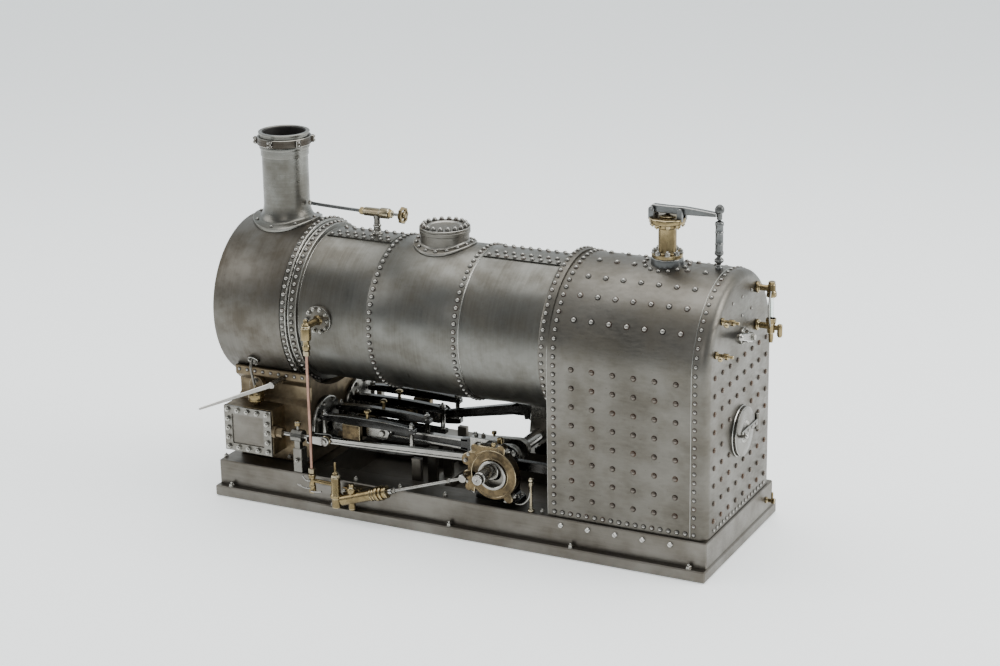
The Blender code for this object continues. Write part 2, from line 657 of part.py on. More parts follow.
def make_chimney():
    """Bell-mouthed base saddled on the smokebox, plain tube, clamp band and rim."""
    top = 364
    tube = 23.3
    bell = [(tube + 9 * (1 - i / 4) ** 2.4, 276 + 24 * i / 4) for i in range(5)]
    upper = [(tube, 339.5), (24.2, 340.2), (24.2, 347), (25.4, 347.6), (25.4, 350.6), (27.4, 351.2), (27.4, 359),
             (25, 359.6), (25, top - 2.4), (25.9, top - 2), (25.9, top)]
    body = turned([(tube + 9, 240)] + bell + upper, "Z", (CHIMNEY_X, 0, 0))
    plate = common(disc(35.3, 240, 300, "Z", (CHIMNEY_X, 0, 0)),
                   along_boiler(SMOKEBOX_R + 4.6, CHIMNEY_X - 50, CHIMNEY_X + 50, SMOKEBOX_Z))
    body = join(body, plate)
    saddle = along_boiler(SMOKEBOX_R + GAP, CHIMNEY_X - 60, CHIMNEY_X + 60, SMOKEBOX_Z)
    flue = disc(20, 230, top + 5, "Z", (CHIMNEY_X, 0, 0))
    finish("chimney", "steel", cut(body, saddle, flue))


def make_barrel():
    """Three strakes, the middle one outside, and the stepped ring that meets the smokebox."""
    left, right = SMOKEBOX_X[1] + GAP, FIREBOX_X[0] - GAP
    inner = BARREL_R - SHELL
    profile = [(inner, left), (83.6, left), (83.6, -182.6), (79.7, -182), (79.7, -172.6), (BARREL_R, -172),
               (BARREL_R, SEAMS[0]), (STRAKE_R, SEAMS[0]), (STRAKE_R, SEAMS[1]), (BARREL_R, SEAMS[1]),
               (BARREL_R, right), (inner, right)]
    shell = turned(profile, "X", (0, 0, BOILER_Z), ring=True)
    manway = disc(17, BOILER_Z + 50, BOILER_Z + 100, "Z", (MANHOLE_X, 0, 0))
    finish("boiler_barrel", "steel", cut(shell, manway))


def make_fire_tubes():
    """Front tube plate with its fire tubes, which open into the inner firebox."""
    left, right = -160, INNER_FIREBOX_X[0] - GAP
    plate = disc(BARREL_R - SHELL - GAP, left, left + 3, "X", (0, 0, BOILER_Z))
    body = plate
    for y, z in TUBES:
        body = join(body, turned([(TUBE_R, left), (TUBE_R, right)], "X", (0, y, BOILER_Z + z), 8))
    for y, z in TUBES:
        body = cut(body, turned([(TUBE_R - 1.4, left - 5), (TUBE_R - 1.4, right + 5)], "X",
                                (0, y, BOILER_Z + z), 8))
    finish("fire_tubes", "copper", body)


def firebox_outline(inset, bottom, steps=22):
    """Flat-sided outline with a round crown, drawn in y, z."""
    radius = FIREBOX_R - inset
    return [(-radius, bottom), (radius, bottom)] + arc((0, CROWN_Z), radius, 0, 180, steps)


def make_firebox():
    """Outer wrapper with its throat plate and barrel ring; the safety valve's seat stands on the crown."""
    left, right = FIREBOX_X
    bottom = BED_TOP + GAP
    body = prism(firebox_outline(0, bottom), "X", left, right)
    seat = turned([(15.4, 262), (15.4, 278), (14.8, 279), (14.8, 280)], "Z", (SAFETY_X, 0, 0))
    ring = along_boiler(83.5, left - 9.5, left + 1)
    body = join(body, seat, cut(ring, along_boiler(BARREL_R + GAP, left - 20, left - GAP / 2)))
    body = cut(body, prism(firebox_outline(SHELL, bottom - 10), "X", left + SHELL, right + 10))
    throat = along_boiler(BARREL_R - SHELL, left - 10, left + 10, BOILER_Z)
    steam = disc(6, 250, 300, "Z", (SAFETY_X, 0, 0))
    finish("firebox_wrapper", "steel", cut(body, throat, steam))


def make_backhead():
    """Flanged end plate with rounded shoulders, the fire hole and the regulator's gland."""
    left, right = FIREBOX_X[1] + GAP, BACKHEAD_X
    bottom = BED_TOP + GAP
    rings = []
    for inset, x in ((0, left), (0, right - 9), (2.6, right - 2.6), (9, right)):
        rings.append([(x, y, z) for y, z in firebox_outline(inset, bottom)])
    bm = bmesh.new()
    rows = [[bm.verts.new(p) for p in ring] for ring in rings]
    for low, high in zip(rows, rows[1:]):
        for i in range(len(low)):
            bm.faces.new((low[i - 1], low[i], high[i], high[i - 1]))
    bm.faces.new(rows[0])
    bm.faces.new(rows[-1])
    body = blank(bm)
    body = cut(body, prism(firebox_outline(SHELL, bottom - 10), "X", left - 10, right - 4.5 - SHELL))
    y, z = FIRE_HOLE
    surround = disc(FIRE_HOLE_R + 5, right - 5, right + 2, "X", (0, y, z))
    gland = turned([(8, right - 5), (8, right + 2.5), (5.5, right + 3), (5.5, right + 8)], "X", (0, 0, 212))
    body = join(body, surround, gland)
    hole = disc(FIRE_HOLE_R, left - 20, right + 10, "X", (0, y, z))
    spindle = disc(2.4, left - 20, right + 20, "X", (0, 0, 212))
    finish("backhead", "steel", cut(body, hole, spindle))


def make_inner_firebox():
    """Copper box open at the bottom, with its tube plate and its own fire hole."""
    left, right = INNER_FIREBOX_X
    bottom, crown, half = BED_TOP + GAP, 208, 66
    body = box((left, -half, bottom), (right, half, crown), 4)
    body = cut(body, box((left + 3, -half + 3, bottom - 10), (right - 3, half - 3, crown - 3)))
    body = cut(body, disc(FIRE_HOLE_R, right - 10, right + 10, "X", (0, *FIRE_HOLE)))
    for y, z in TUBES:
        body = cut(body, turned([(TUBE_R - 1.4, left - 5), (TUBE_R - 1.4, left + 8)], "X", (0, y, BOILER_Z + z), 8))
    finish("inner_firebox", "copper", body)


def make_manhole():
    """Riveted foot, short neck and bolting ring, with a flat cover on top."""
    at = (MANHOLE_X, 0, 0)
    ring_top = 282
    neck = turned([(24, 240), (24, 272), (23, 274), (23, ring_top - 4), (25.2, ring_top - 3.6), (25.2, ring_top)],
                  "Z", at)
    foot = common(disc(33, 240, 290, "Z", at), along_boiler(STRAKE_R + 2.4, -120, 20, BOILER_Z))
    body = cut(join(neck, foot), along_boiler(STRAKE_R + GAP, -130, 30, BOILER_Z))
    finish("manhole_ring", "steel", cut(body, disc(17, 220, 300, "Z", at)))
    cover = turned([(25.2, ring_top + GAP), (25.2, ring_top + 2.6), (24.6, ring_top + 3), (15.6, ring_top + 3),
                    (15.2, ring_top + 2), (0, ring_top + 2)], "Z", at)
    finish("manhole_cover", "steel", cover)


# ------------------------------------------------------------ fittings
def make_blower():
    """Blower valve on a turned pillar, with its handwheel and the steel pipe to the chimney."""
    axis_z = 290
    foot_z = BOILER_Z + BARREL_R
    pillar = turned([(5.5, foot_z - 4), (5.5, foot_z + 2.6), (2.6, foot_z + 4), (2, foot_z + 8), (3.2, foot_z + 11),
                     (2, foot_z + 14), (3, foot_z + 19), (3, axis_z)], "Z", (BLOWER_X, 0, 0))
    body = turned([(2.2, -141), (3.4, -140), (3.4, -136), (4.4, -135.4), (4.4, -118), (5.4, -117), (5.4, -108),
                   (3.4, -107), (3.4, -104)], "X", (0, 0, axis_z))
    body = join(body, pillar)
    body = cut(body, along_boiler(BARREL_R + GAP, -150, -95),
               disc(1.5 + RUNNING, -125, -90, "X", (0, 0, axis_z)))
    finish("blower_valve", "brass", body)

    wheel = disc(3.2, -95, -89.5, "X", (0, 0, axis_z))
    rim = turned([(6.6, -94), (8.6, -93.4), (8.6, -91.6), (6.6, -91)], "X", (0, 0, axis_z), ring=True)
    spokes = [box((-93.6, -7.4, axis_z - 1.1), (-91.4, 7.4, axis_z + 1.1)),
              box((-93.6, -1.1, axis_z - 7.4), (-91.4, 1.1, axis_z + 7.4))]
    stem = disc(1.5, -120, -92, "X", (0, 0, axis_z))
    finish("blower_wheel", "brass", join(wheel, rim, *spokes, stem), (-92.5, 0, axis_z))

    route = [(-141 - GAP, 0, axis_z), (-160, 0, axis_z + 0.4), (-185, 0, axis_z + 1.2),
             (CHIMNEY_X + 25.6, 0, axis_z + 2)]
    finish("blower_pipe", "steel", pipe(route, 1.2))


def make_safety_valve():
    """Seat, column and top flange in brass with the lever's steel bracket, the plug, and the lever."""
    at = (SAFETY_X, 0, 0)
    column = turned([(14.8, 280 + GAP), (14.8, 283.6), (9.6, 284.6), (8.7, 287), (8.7, 308), (11, 309), (11, 312.6),
                     (16.8, 313.4), (17.4, 314), (17.4, 318), (16.8, 318.6)], "Z", at)
    bracket = []
    for x in (SAFETY_X - 17.2, SAFETY_X + 11.4):
        for hand in (-1, 1):
            low, high = sorted((hand * 3.4, hand * 6.4))
            bracket.append(box((x, low, 316), (x + 5.8, high, 328.4), 0.4))
    body = cut(join(column, *bracket), disc(4.5, 270, 330, "Z", at))
    finish("safety_valve_body", "brass", body)

    plug = turned([(3.6, 300), (3.6, 318.6 + GAP), (8, 318.6 + GAP), (8, 320), (3, 320.8), (1, 322)], "Z", at)
    finish("safety_valve_plug", "brass", plug)

    pivot = (SAFETY_X - 13.5, 325.5)
    top = [(BALANCE_X - 2, 327.2), (222, 328.8), (206, 329.9), (192, 329.6)] + arc((176.4, 325.2), 4.6, 80, 180, 4)
    lever = prism([(171.8, 323.6), (175, 322.4), (204, 322.4), (222, 322.9), (BALANCE_X - 2, 323.7)] + top, "Y",
                  -3, 3, 0.5)
    finial = turned([(1.5, 313), (1.5, 320.6), (2.6, 321.4), (2.6, 327), (4, 328), (4.4, 329.4), (4.4, 331.6),
                     (3.4, 333.6), (1.8, 335), (0.8, 335.6)], "Z", (BALANCE_X, 0, 0))
    finish("safety_lever", "steel", join(lever, finial), (pivot[0], 0, pivot[1]))


def make_spring_balance():
    """Spring case on a forked foot, open at the top where the lever's rod enters."""
    at = (BALANCE_X, 0, 0)
    case = turned([(1.6, 280), (1.8, 286), (3, 287), (4.2, 288), (4.2, 290), (3.7, 291), (3.7, 315), (4.2, 316),
                   (4.2, 318.4), (3, 319.4)], "Z", at)
    knuckle = turned([(3.6, 270), (3.6, 276), (2, 277.4), (2, 279), (4.4, 281), (4.4, 283), (2, 285.4)], "Z", at)
    body = join(case, knuckle)
    body = cut(body, disc(2.6, 292, 330, "Z", at),
               along_boiler(FIREBOX_R + GAP, 200, 247, CROWN_Z))
    finish("spring_balance", "bright", body)


def make_water_gauge():
    """Top and bottom gauge cocks on the backhead with the glass between them."""
    x, y = 279, 38
    low, high = 212, 249
    wall = BACKHEAD_X + GAP
    arm = [(5.4, wall), (5.4, wall + 2.4), (3, wall + 3), (3, x)]
    top = join(turned(arm, "X", (0, y, high)),
               turned([(4.6, high - 8), (4.6, high - 3), (3.8, high - 2), (3.8, high + 4), (2, high + 6)], "Z",
                      (x, y, 0)))
    finish("gauge_top_cock", "brass", cut(top, disc(2.6, high - 15, high - 5, "Z", (x, y, 0))))
    bottom = join(turned(arm, "X", (0, y, low)),
                  turned([(1.8, low - 16), (2.4, low - 12), (2.4, low - 7), (3.8, low - 6), (3.8, low + 2),
                          (4.6, low + 3), (4.6, low + 8)], "Z", (x, y, 0)),
                  disc(2.4, x, x + 10, "X", (0, y, low - 1)),
                  turned([(1.6, low - 10), (2.6, low - 8), (2.6, low + 2), (1.6, low + 3)], "Z", (x + 9.5, y, 0)))
    finish("gauge_bottom_cock", "brass", cut(bottom, disc(2.6, low + 5, low + 15, "Z", (x, y, 0))))
    finish("gauge_glass", "glass", disc(2.2, low + 5 + GAP, high - 5 - GAP, "Z", (x, y, 0)))


def make_try_cocks():
    """Two small test cocks on the near side of the backhead."""
    wall = BACKHEAD_X + GAP
    for word, y, z in (("upper", -52, 241), ("lower", -66, 213)):
        body = turned([(3.6, wall), (3.6, wall + 1.8), (1.9, wall + 2.4), (1.9, wall + 7), (3, wall + 7.6),
                       (3, wall + 12.4), (1.5, wall + 13), (1.5, wall + 17)], "X", (0, y, z))
        handle = rod((wall + 10, y, z), (wall + 10, y - 15, z + 2), 1.2)
        finish(f"{word}_try_cock", "brass", join(body, handle, ball((wall + 10, y - 15, z + 2), 2.4)),
               (wall, y, z))


def make_regulator():
    """Regulator spindle with its long handle across the backhead."""
    face = BACKHEAD_X + 8 + GAP
    stem = disc(2, BACKHEAD_X - 30, face + 4, "X", (0, 0, 212))
    arm = prism(slab((0, 212), (-34, 222), 4.6, 2.4), "X", face, face + 3, 0.4)
    finish("regulator_handle", "bright", join(stem, arm, ball((face + 4, -36, 222.6), 3.6)), (face, 0, 212))


def make_fire_door():
    """Round fire door with a strap hinge on the far side and a lifting handle."""
    face = BACKHEAD_X + 2 + GAP
    y, z = FIRE_HOLE
    hinge_y = y + 32
    body = turned([(24, face), (24, face + 2.6), (22.5, face + 3.2)], "X", (0, y, z))
    strap = box((face + 2, y - 10, z - 3), (face + 4.6, hinge_y, z + 3), 0.3)
    hinge = disc(2.4, z - 8, z + 8, "Z", (face + 2.6, hinge_y, 0))
    handle = rod((face + 2, y - 17, z), (face + 10, y - 17, z + 2), 1.6)
    finish("fire_door", "steel", join(body, strap, hinge, handle, ball((face + 10, y - 17, z + 2), 2.6)),
           (face + 2.6, hinge_y, z))


def make_lubricator():
    """Displacement lubricator on the near steam chest, with its thin pipe up to the smokebox side."""
    x, y = CHIMNEY_X, -75
    pot = turned([(3, CHEST_Z[1] + GAP), (3, 100), (7, 101), (8, 103), (8, 109), (7, 111), (3.2, 112), (3.2, 114),
                  (1.4, 115), (1.4, 118)], "Z", (x, y, 0))
    riser = pipe([(x, y, 114), (x - 3, y, 126), (x - 4, y - 1, 137), (x - 4, y + 4, 146), (x - 4, y + 7, 149)],
                 1.3, 3)
    flange = disc(6, 0, 14, "Z", (0, 0, 0))
    lean = Matrix.Translation(Vector((x - 4, -60, 150)) * MM) @ Matrix.Rotation(math.radians(90 + 36), 4, "X")
    flange.data.transform(lean)
    saddle = along_boiler(SMOKEBOX_R + GAP, x - 40, x + 40, SMOKEBOX_Z)
    finish("lubricator", "brass", cut(join(pot, riser, flange), saddle))


def make_starting_lever():
    """Polished drain lever pivoted on a stud at the side of the saddle."""
    x, y, z = -200, -85, 125
    tip = (-288, 87)
    arm = prism(slab((x, z), tip, 3.2, 1.6), "Y", y - 1.5, y + 1.5, 0.4)
    boss = disc(3.4, y - 2.4, -65 - GAP, "Y", (x, 0, z))
    finish("starting_lever", "bright", join(arm, boss), (x, y, z))


def main():
    for leftover in list(bpy.data.objects):
        bpy.data.objects.remove(leftover)
    for make in (make_bed, make_bearings, make_motion_bracket, make_guide_bars, make_cylinder_block, make_covers,
                 make_crankshaft, make_eccentrics, make_connecting_rods, make_crossheads, make_pistons, make_straps,
                 make_valve_rods, make_valve_guides, make_feed_pump, make_pump_ram, make_delivery, make_smokebox,
                 make_smokebox_door, make_chimney, make_barrel, make_fire_tubes, make_firebox, make_backhead,
                 make_inner_firebox, make_manhole, make_blower, make_safety_valve, make_spring_balance,
                 make_water_gauge, make_try_cocks, make_regulator, make_fire_door, make_lubricator,
                 make_starting_lever):
        make()


main()
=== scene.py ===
"""Looks of the undertype steam engine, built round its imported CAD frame.

Shapes are drawn in millimetres in the frame of the part: +X from smokebox to firebox, +Z up, near side at -Y.
MM turns them into metres as each piece is made. Bare numbers in profiles and outlines are radii and stations
in millimetres in that frame.
"""

import json
import math
import random

import bmesh
import bpy
import numpy as np
from mathutils import Matrix, Vector


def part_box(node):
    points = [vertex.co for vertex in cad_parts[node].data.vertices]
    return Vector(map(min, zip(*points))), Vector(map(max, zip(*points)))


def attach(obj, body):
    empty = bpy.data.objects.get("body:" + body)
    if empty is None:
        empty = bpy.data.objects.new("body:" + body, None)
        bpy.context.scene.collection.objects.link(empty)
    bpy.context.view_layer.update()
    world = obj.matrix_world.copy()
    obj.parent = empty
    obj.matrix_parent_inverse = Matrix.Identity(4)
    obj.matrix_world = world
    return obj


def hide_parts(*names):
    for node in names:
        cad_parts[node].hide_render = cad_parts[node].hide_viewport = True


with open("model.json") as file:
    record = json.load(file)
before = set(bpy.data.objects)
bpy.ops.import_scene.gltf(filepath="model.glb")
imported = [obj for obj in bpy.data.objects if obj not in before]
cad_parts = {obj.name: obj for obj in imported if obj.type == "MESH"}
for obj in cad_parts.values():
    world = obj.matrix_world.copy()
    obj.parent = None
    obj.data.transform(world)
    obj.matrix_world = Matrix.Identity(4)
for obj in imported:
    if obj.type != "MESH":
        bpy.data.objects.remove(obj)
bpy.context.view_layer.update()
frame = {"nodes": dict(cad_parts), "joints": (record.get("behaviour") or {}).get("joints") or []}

MM = 0.001
NEAR, FAR = -1, 1
SIDES = (("near", NEAR), ("far", FAR))
DRAW = random.Random(7)


def span(node):
    """Lowest and highest corner of a CAD node, in millimetres."""
    low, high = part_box(node)
    return low / MM, high / MM


def middle(node):
    """Centre of a CAD node's box, in millimetres."""
    low, high = span(node)
    return (low + high) / 2


def joint_at(name):
    """A joint's place, in millimetres."""
    found = [j for j in frame["joints"] if j["name"] == name]
    return Vector(found[0]["pos_m"]) / MM


# Boiler, read off the CAD nodes
BOILER_Z = round(middle("boiler_barrel").z)
SMOKEBOX_X = (span("smokebox")[0].x, span("smokebox")[1].x)
SMOKEBOX_Z = BOILER_Z - 1
SMOKEBOX_R = 84
BARREL_X = (span("boiler_barrel")[0].x, span("boiler_barrel")[1].x)
BARREL_R = 75
STRAKE_R = 76.2
PLATE = 3
SEAMS = (-96, 5)
FIREBOX_LEFT = 102
FIREBOX_RIGHT = span("firebox_wrapper")[1].x
BACKHEAD_X = span("backhead")[0].x
BACKHEAD_FACE = BACKHEAD_X + 15.7
FIREBOX_R = 84
CROWN_Z = BOILER_Z - 2
BED_TOP = span("bed")[1].z
CHIMNEY = middle("chimney")
CHIMNEY_TOP = span("chimney")[1].z
MANHOLE_X = middle("manhole_ring").x
SAFETY_X = middle("safety_valve_body").x
BALANCE_X = middle("spring_balance").x
BLOWER_Z = joint_at("blower_wheel_turn").z
SHAFT = joint_at("crank_spin")
PUMP_Y = -99.5
PUMP_TILT = 18.4
DELIVERY_X, DELIVERY_Y = -148, PUMP_Y - 1.5
FIRE_HOLE = (0, 118)
REGULATOR_Z = 212
FOOT_ROW_Z = 41.5
STAY = (2.45, 2.1, 0.4, 16)

# A band between two loops that is narrower than this is a broken edge
NARROW = 0.9

STAND = {
    "X": Matrix.Rotation(math.radians(90), 4, "Y"),
    "Y": Matrix.Rotation(math.radians(-90), 4, "X"),
    "Z": Matrix.Identity(4),
}


# ------------------------------------------------------------------ shapes
class Shape:
    """Vertices in millimetres and faces; each face has a shine (1 is polished: the metal's polish colour,
    which on rivet and stay domes is a painted highlight) and a tone (0 to 1).
    """

    def __init__(self, verts, faces, shine=0.0, tone=0.5):
        self.verts = np.array(verts, float).reshape(-1, 3)
        self.faces = [tuple(f) for f in faces]
        count = len(self.faces)
        self.shine = list(shine) if hasattr(shine, "__len__") else [shine] * count
        self.tone = list(tone) if hasattr(tone, "__len__") else [tone] * count

    def at(self, matrix):
        """A placed copy."""
        turn = np.array(matrix.to_3x3())
        verts = self.verts @ turn.T + np.array(matrix.translation)
        return Shape(verts, self.faces, self.shine, self.tone)


def merged(*shapes):
    """One shape out of several."""
    verts, faces, shine, tone = [], [], [], []
    count = 0
    for shape in shapes:
        verts.append(shape.verts)
        faces += [tuple(i + count for i in f) for f in shape.faces]
        shine += shape.shine
        tone += shape.tone
        count += len(shape.verts)
    return Shape(np.vstack(verts), faces, shine, tone)


def chamfered(profile, width, closed=False):
    """Cuts a profile's corners; returns the points and whether each span is a chamfer."""
    points, cut = [], []
    count = len(profile)
    for i, here in enumerate(profile):
        here = Vector(here)
        before, after = Vector(profile[i - 1]), Vector(profile[(i + 1) % count])
        back, ahead = before - here, after - here
        inner = closed or 0 < i < count - 1
        sharp = inner and min(back.length, ahead.length) > 1e-4 and back.angle(ahead) < math.radians(150)
        if sharp and width:
            size = min(width, back.length * 0.4, ahead.length * 0.4)
            points += [tuple(here + back.normalized() * size), tuple(here + ahead.normalized() * size)]
            cut += [True, False]
        else:
            points.append(tuple(here))
            cut.append(False)
    return points, cut


def lathe(profile, axis="Z", at=(0, 0, 0), sides=48, edge=0.3, closed=False, aim=None, tone=0.5, shine=0.0):
    """Turns (radius, station) pairs about an axis, with its corners broken."""
    points, cut = chamfered(profile, edge, closed)
    verts, rows = [], []
    for radius, station in points:
        count = sides if radius > 1e-6 else 1
        rows.append(list(range(len(verts), len(verts) + count)))
        for i in range(count):
            a = 2 * math.pi * (i + 0.5) / sides
            verts.append((radius * math.cos(a), radius * math.sin(a), station))
    pairs = list(zip(rows, rows[1:], cut))
    if closed:
        pairs.append((rows[-1], rows[0], cut[-1]))
    faces, gloss = [], []
    for low, high, bright in pairs:
        for i in range(sides):
            j = i + 1
            around = (low[i % len(low)], low[j % len(low)], high[j % len(high)], high[i % len(high)])
            faces.append(tuple(dict.fromkeys(around)))
            gloss.append(1.0 if bright else shine)
    if not closed:
        for row in (rows[0], rows[-1]):
            if len(row) > 1:
                faces.append(tuple(row))
                gloss.append(shine)
    place = Matrix.Translation(at) @ (aim or Matrix.Identity(4)) @ STAND[axis]
    return Shape(verts, faces, gloss, tone).at(place)


def disc(radius, low, high, axis, at=(0, 0, 0), sides=48, edge=0.3, **more):
    """A plain turned cylinder between two stations."""
    return lathe([(0, low), (radius, low), (radius, high), (0, high)], axis, at, sides, edge, **more)


def collar(inner, outer, low, high, axis, at=(0, 0, 0), sides=48, edge=0.3, **more):
    """A plain turned ring between two stations."""
    profile = [(inner, low), (outer, low), (outer, high), (inner, high)]
    return lathe(profile, axis, at, sides, edge, True, **more)


def heading(direction):
    """The turn that carries +Z to a direction."""
    return Vector(direction).to_track_quat("Z", "Y").to_matrix().to_4x4()


def rod(start, end, radius, sides=20, edge=0.3):
    """A straight round bar between two points."""
    run = Vector(end) - Vector(start)
    return disc(radius, 0, run.length, "Z", start, sides, edge,
                 aim=heading(run))


def ball(centre, radius, sides=20):
    """A round ball."""
    rows = [(radius * math.sin(math.pi * i / 10), -radius * math.cos(math.pi * i / 10)) for i in range(1,
                                                                                                       10)]
    return lathe([(0, -radius)] + rows + [(0, radius)], "Z", centre, sides, 0, shine=0.5)


def arc(centre, radius, start, end, steps):
    """Points of a circular arc, angles in degrees, both ends included."""
    turns = [math.radians(start + (end - start) * i / steps) for i in range(steps + 1)]
    return [(centre[0] + radius * math.cos(t), centre[1] + radius * math.sin(t)) for t in turns]


def polar(centre, radius, angle):
    """The point at an angle in degrees on a circle."""
    return arc(centre, radius, angle, angle, 1)[0]


def bar(start, end, radius_start, radius_end, steps=10):
    """Outline of a bar with round ends."""
    run = Vector(end) - Vector(start)
    course = math.degrees(math.atan2(run.y, run.x))
    first = arc(start, radius_start, course + 90, course + 270, steps)
    return first + arc(end, radius_end, course - 90, course + 90, steps)


def from_bmesh(bm, bright=()):
    """A shape out of a bmesh; the bright faces are its broken edges."""
    bm.verts.index_update()
    shine = [1.0 if f in bright else 0.0 for f in bm.faces]
    shape = Shape([v.co[:] for v in bm.verts], [[v.index for v in f.verts] for f in bm.faces], shine)
    bm.free()
    return shape


def prism(outline, axis, low, high, edge=0.4):
    """Extrudes an outline, drawn in the other two axes in X, Y, Z order, with its corners broken."""
    bm = bmesh.new()
    index = "XYZ".index(axis)
    floor = []
    for a, b in outline:
        corner = [a, b]
        corner.insert(index, low)
        floor.append(bm.verts.new(corner))
    face = bm.faces.new(floor)
    grown = bmesh.ops.extrude_face_region(bm, geom=[face])["geom"]
    lift = Vector()
    lift[index] = high - low
    bmesh.ops.translate(bm, verts=[v for v in grown if isinstance(v, bmesh.types.BMVert)], vec=lift)
    bmesh.ops.recalc_face_normals(bm, faces=bm.faces)
    bright = set()
    if edge:
        sharp = [e for e in bm.edges if e.calc_face_angle(0) > math.radians(32)]
        made = bmesh.ops.bevel(bm, geom=sharp, offset=edge, segments=1, affect="EDGES", clamp_overlap=True)
        bright = set(made["faces"])
    return from_bmesh(bm, bright)


def block(low, high, edge=0.4):
    """A block between two corners with broken edges."""
    return prism([(low[0], low[1]), (high[0], low[1]), (high[0], high[1]), (low[0], high[1])], "Z", low[2],
                 high[2], edge)


def ring_plate(outer, inner, axis, low, high):
    """A plate between an outer and an inner outline of the same number of points."""
    index = "XYZ".index(axis)
    verts = []
    for outline in (outer, inner):
        for station in (low, high):
            for a, b in outline:
                corner = [a, b]
                corner.insert(index, station)
                verts.append(corner)
    n = len(outer)
    faces = []
    for i in range(n):
        j = (i + 1) % n
        for a, b in ((0, 1), (1, 3), (3, 2), (2, 0)):
            faces.append((a * n + i, a * n + j, b * n + j, b * n + i))
    return Shape(verts, faces)


def smooth(points, steps=8):
    """A Catmull-Rom curve through the given points."""
    ends = [points[0]] + list(points) + [points[-1]]
    route = []
    for a, b, c, d in zip(ends, ends[1:], ends[2:], ends[3:]):
        a, b, c, d = Vector(a), Vector(b), Vector(c), Vector(d)
        for i in range(steps):
            t = i / steps
            bend = (2 * a - 5 * b + 4 * c - d) * t * t + (3 * b - a - 3 * c + d) * t * t * t
            route.append((2 * b + (c - a) * t + bend) / 2)
    return route + [Vector(points[-1])]


def band(count, low, high):
    """Faces between two loops of points, given the index of each loop's first point."""
    return [(low + i, low + (i + 1) % count, high + (i + 1) % count, high + i) for i in range(count)]


def tube(points, radius, sides=14, steps=8):
    """A bent round pipe along a smooth curve through the points."""
    route = smooth(points, steps)
    facing = (route[1] - route[0]).normalized()
    across = facing.orthogonal().normalized()
    verts, faces = [], []
    for i, point in enumerate(route):
        before, after = route[max(i - 1, 0)], route[min(i + 1, len(route) - 1)]
        course = (after - before).normalized()
        across = (facing.rotation_difference(course) @ across).normalized()
        facing = course
        beside = course.cross(across)
        for k in range(sides):
            a = 2 * math.pi * k / sides
            verts.append(point + radius * (across * math.cos(a) + beside * math.sin(a)))
    for i in range(len(route) - 1):
        faces += band(sides, i * sides, (i + 1) * sides)
    faces.append(tuple(range(sides)))
    faces.append(tuple(range((len(route) - 1) * sides, len(route) * sides)))
    return Shape(verts, faces)


def saddled(centre_x, rings, height, sides=72):
    """A round fitting on the boiler's top. A ring is (radius, boiler radius or None, lift or height)."""
    verts, faces, shine = [], [], []
    for radius, saddle, lift in rings:
        for i in range(sides):
            a = 2 * math.pi * (i + 0.5) / sides
            x, y = centre_x + radius * math.cos(a), radius * math.sin(a)
            z = lift if saddle is None else height + math.sqrt(saddle * saddle - y * y) + lift
            verts.append((x, y, z))
    count = len(rings)
    for r in range(count):
        low, high = r * sides, (r + 1) % count * sides
        step = abs(rings[r][0] - rings[(r + 1) % count][0]) + abs(rings[r][2] - rings[(r + 1) % count][2])
        faces += band(sides, low, high)
        shine += [0.35 if step < NARROW else 0.0] * sides
    return Shape(verts, faces, shine)


# ------------------------------------------------------- repeated fastenings
def scattered(base, places, tones=(0.0, 1.0)):
    """Copies of a shape at (point, normal) places, each with its own tone."""
    copies = []
    for point, normal in places:
        spin = Matrix.Rotation(DRAW.uniform(0, math.pi), 4, "Z")
        copy = base.at(Matrix.Translation(point) @ heading(normal) @ spin)
        copy.tone = [DRAW.uniform(*tones)] * len(copy.faces)
        copies.append(copy)
    return merged(*copies)


def rivet(radius, height=None, halo=0.55, sides=14):
    """A snap-head rivet standing in its ring of dark patina, which is also painted shade; its dome is painted
    from shade at the foot to a highlight at the top.
    """
    height = height or radius * 0.72
    dome = [(radius * math.cos(t), 0.08 + (height - 0.08) * math.sin(t))
            for t in (math.radians(a) for a in (0, 20, 40, 60, 78))]
    profile = [(radius + halo, -0.2), (radius + halo, 0.03), (radius * 1.02, 0.07)] + dome + [(0, height)]
    shape = lathe(profile, "Z", (0, 0, 0), sides, 0)
    # The ring and the dome's foot get no shine, as painted shade; the shine rises ring by ring to a painted
    # highlight at the top.
    gloss = [0.0] * (3 * sides) + [0.2] * sides + [0.45] * sides + [0.75] * sides + [1.0] * (2 * sides)
    shape.shine = (gloss + [0.0] * len(shape.faces))[:len(shape.faces)]
    return shape


def nut(across, height, stud=True, washer=True):
    """A hexagon nut with a rounded stud end and a washer, standing on z = 0."""
    radius = across / math.sqrt(3)
    parts = [lathe([(0, -0.1), (radius, -0.1), (radius, height * 0.82), (radius * 0.86, height),
                    (0, height)], "Z", (0, 0, 0), 6, 0, shine=0.35)]
    if washer:
        parts.append(disc(radius * 1.12, -0.1, height * 0.16, "Z", (0, 0, 0), 18, 0.05, shine=0.1))
    if stud:
        thread = across * 0.27
        parts.append(lathe([(0, 0), (thread, 0), (thread, height * 1.32), (thread * 0.6, height * 1.5),
                            (0, height * 1.52)], "Z", (0, 0, 0), 12, 0, shine=0.6))
    return merged(*parts)


def slotted(radius, height):
    """A round-headed screw with a slot."""
    head = lathe([(0, -0.1), (radius, -0.1), (radius, height * 0.5), (radius * 0.8, height * 0.9),
                  (radius * 0.3, height), (0, height)], "Z", (0, 0, 0), 18, 0, shine=0.7)
    slot = block((-radius * 0.85, -radius * 0.14, height * 0.55),
                 (radius * 0.85, radius * 0.14, height * 1.03), 0)
    slot.tone = [0.0] * len(slot.faces)
    return merged(head, slot)


def nutted(places, *size):
    """Nuts at places, as a part for piece(); the size is what nut() takes."""
    return scattered(nut(*size), places), "nut"


def riveted(places, *size):
    """Rivets at places, as a part for piece(); the size is what rivet() takes."""
    return scattered(rivet(*size), places), "rivet"


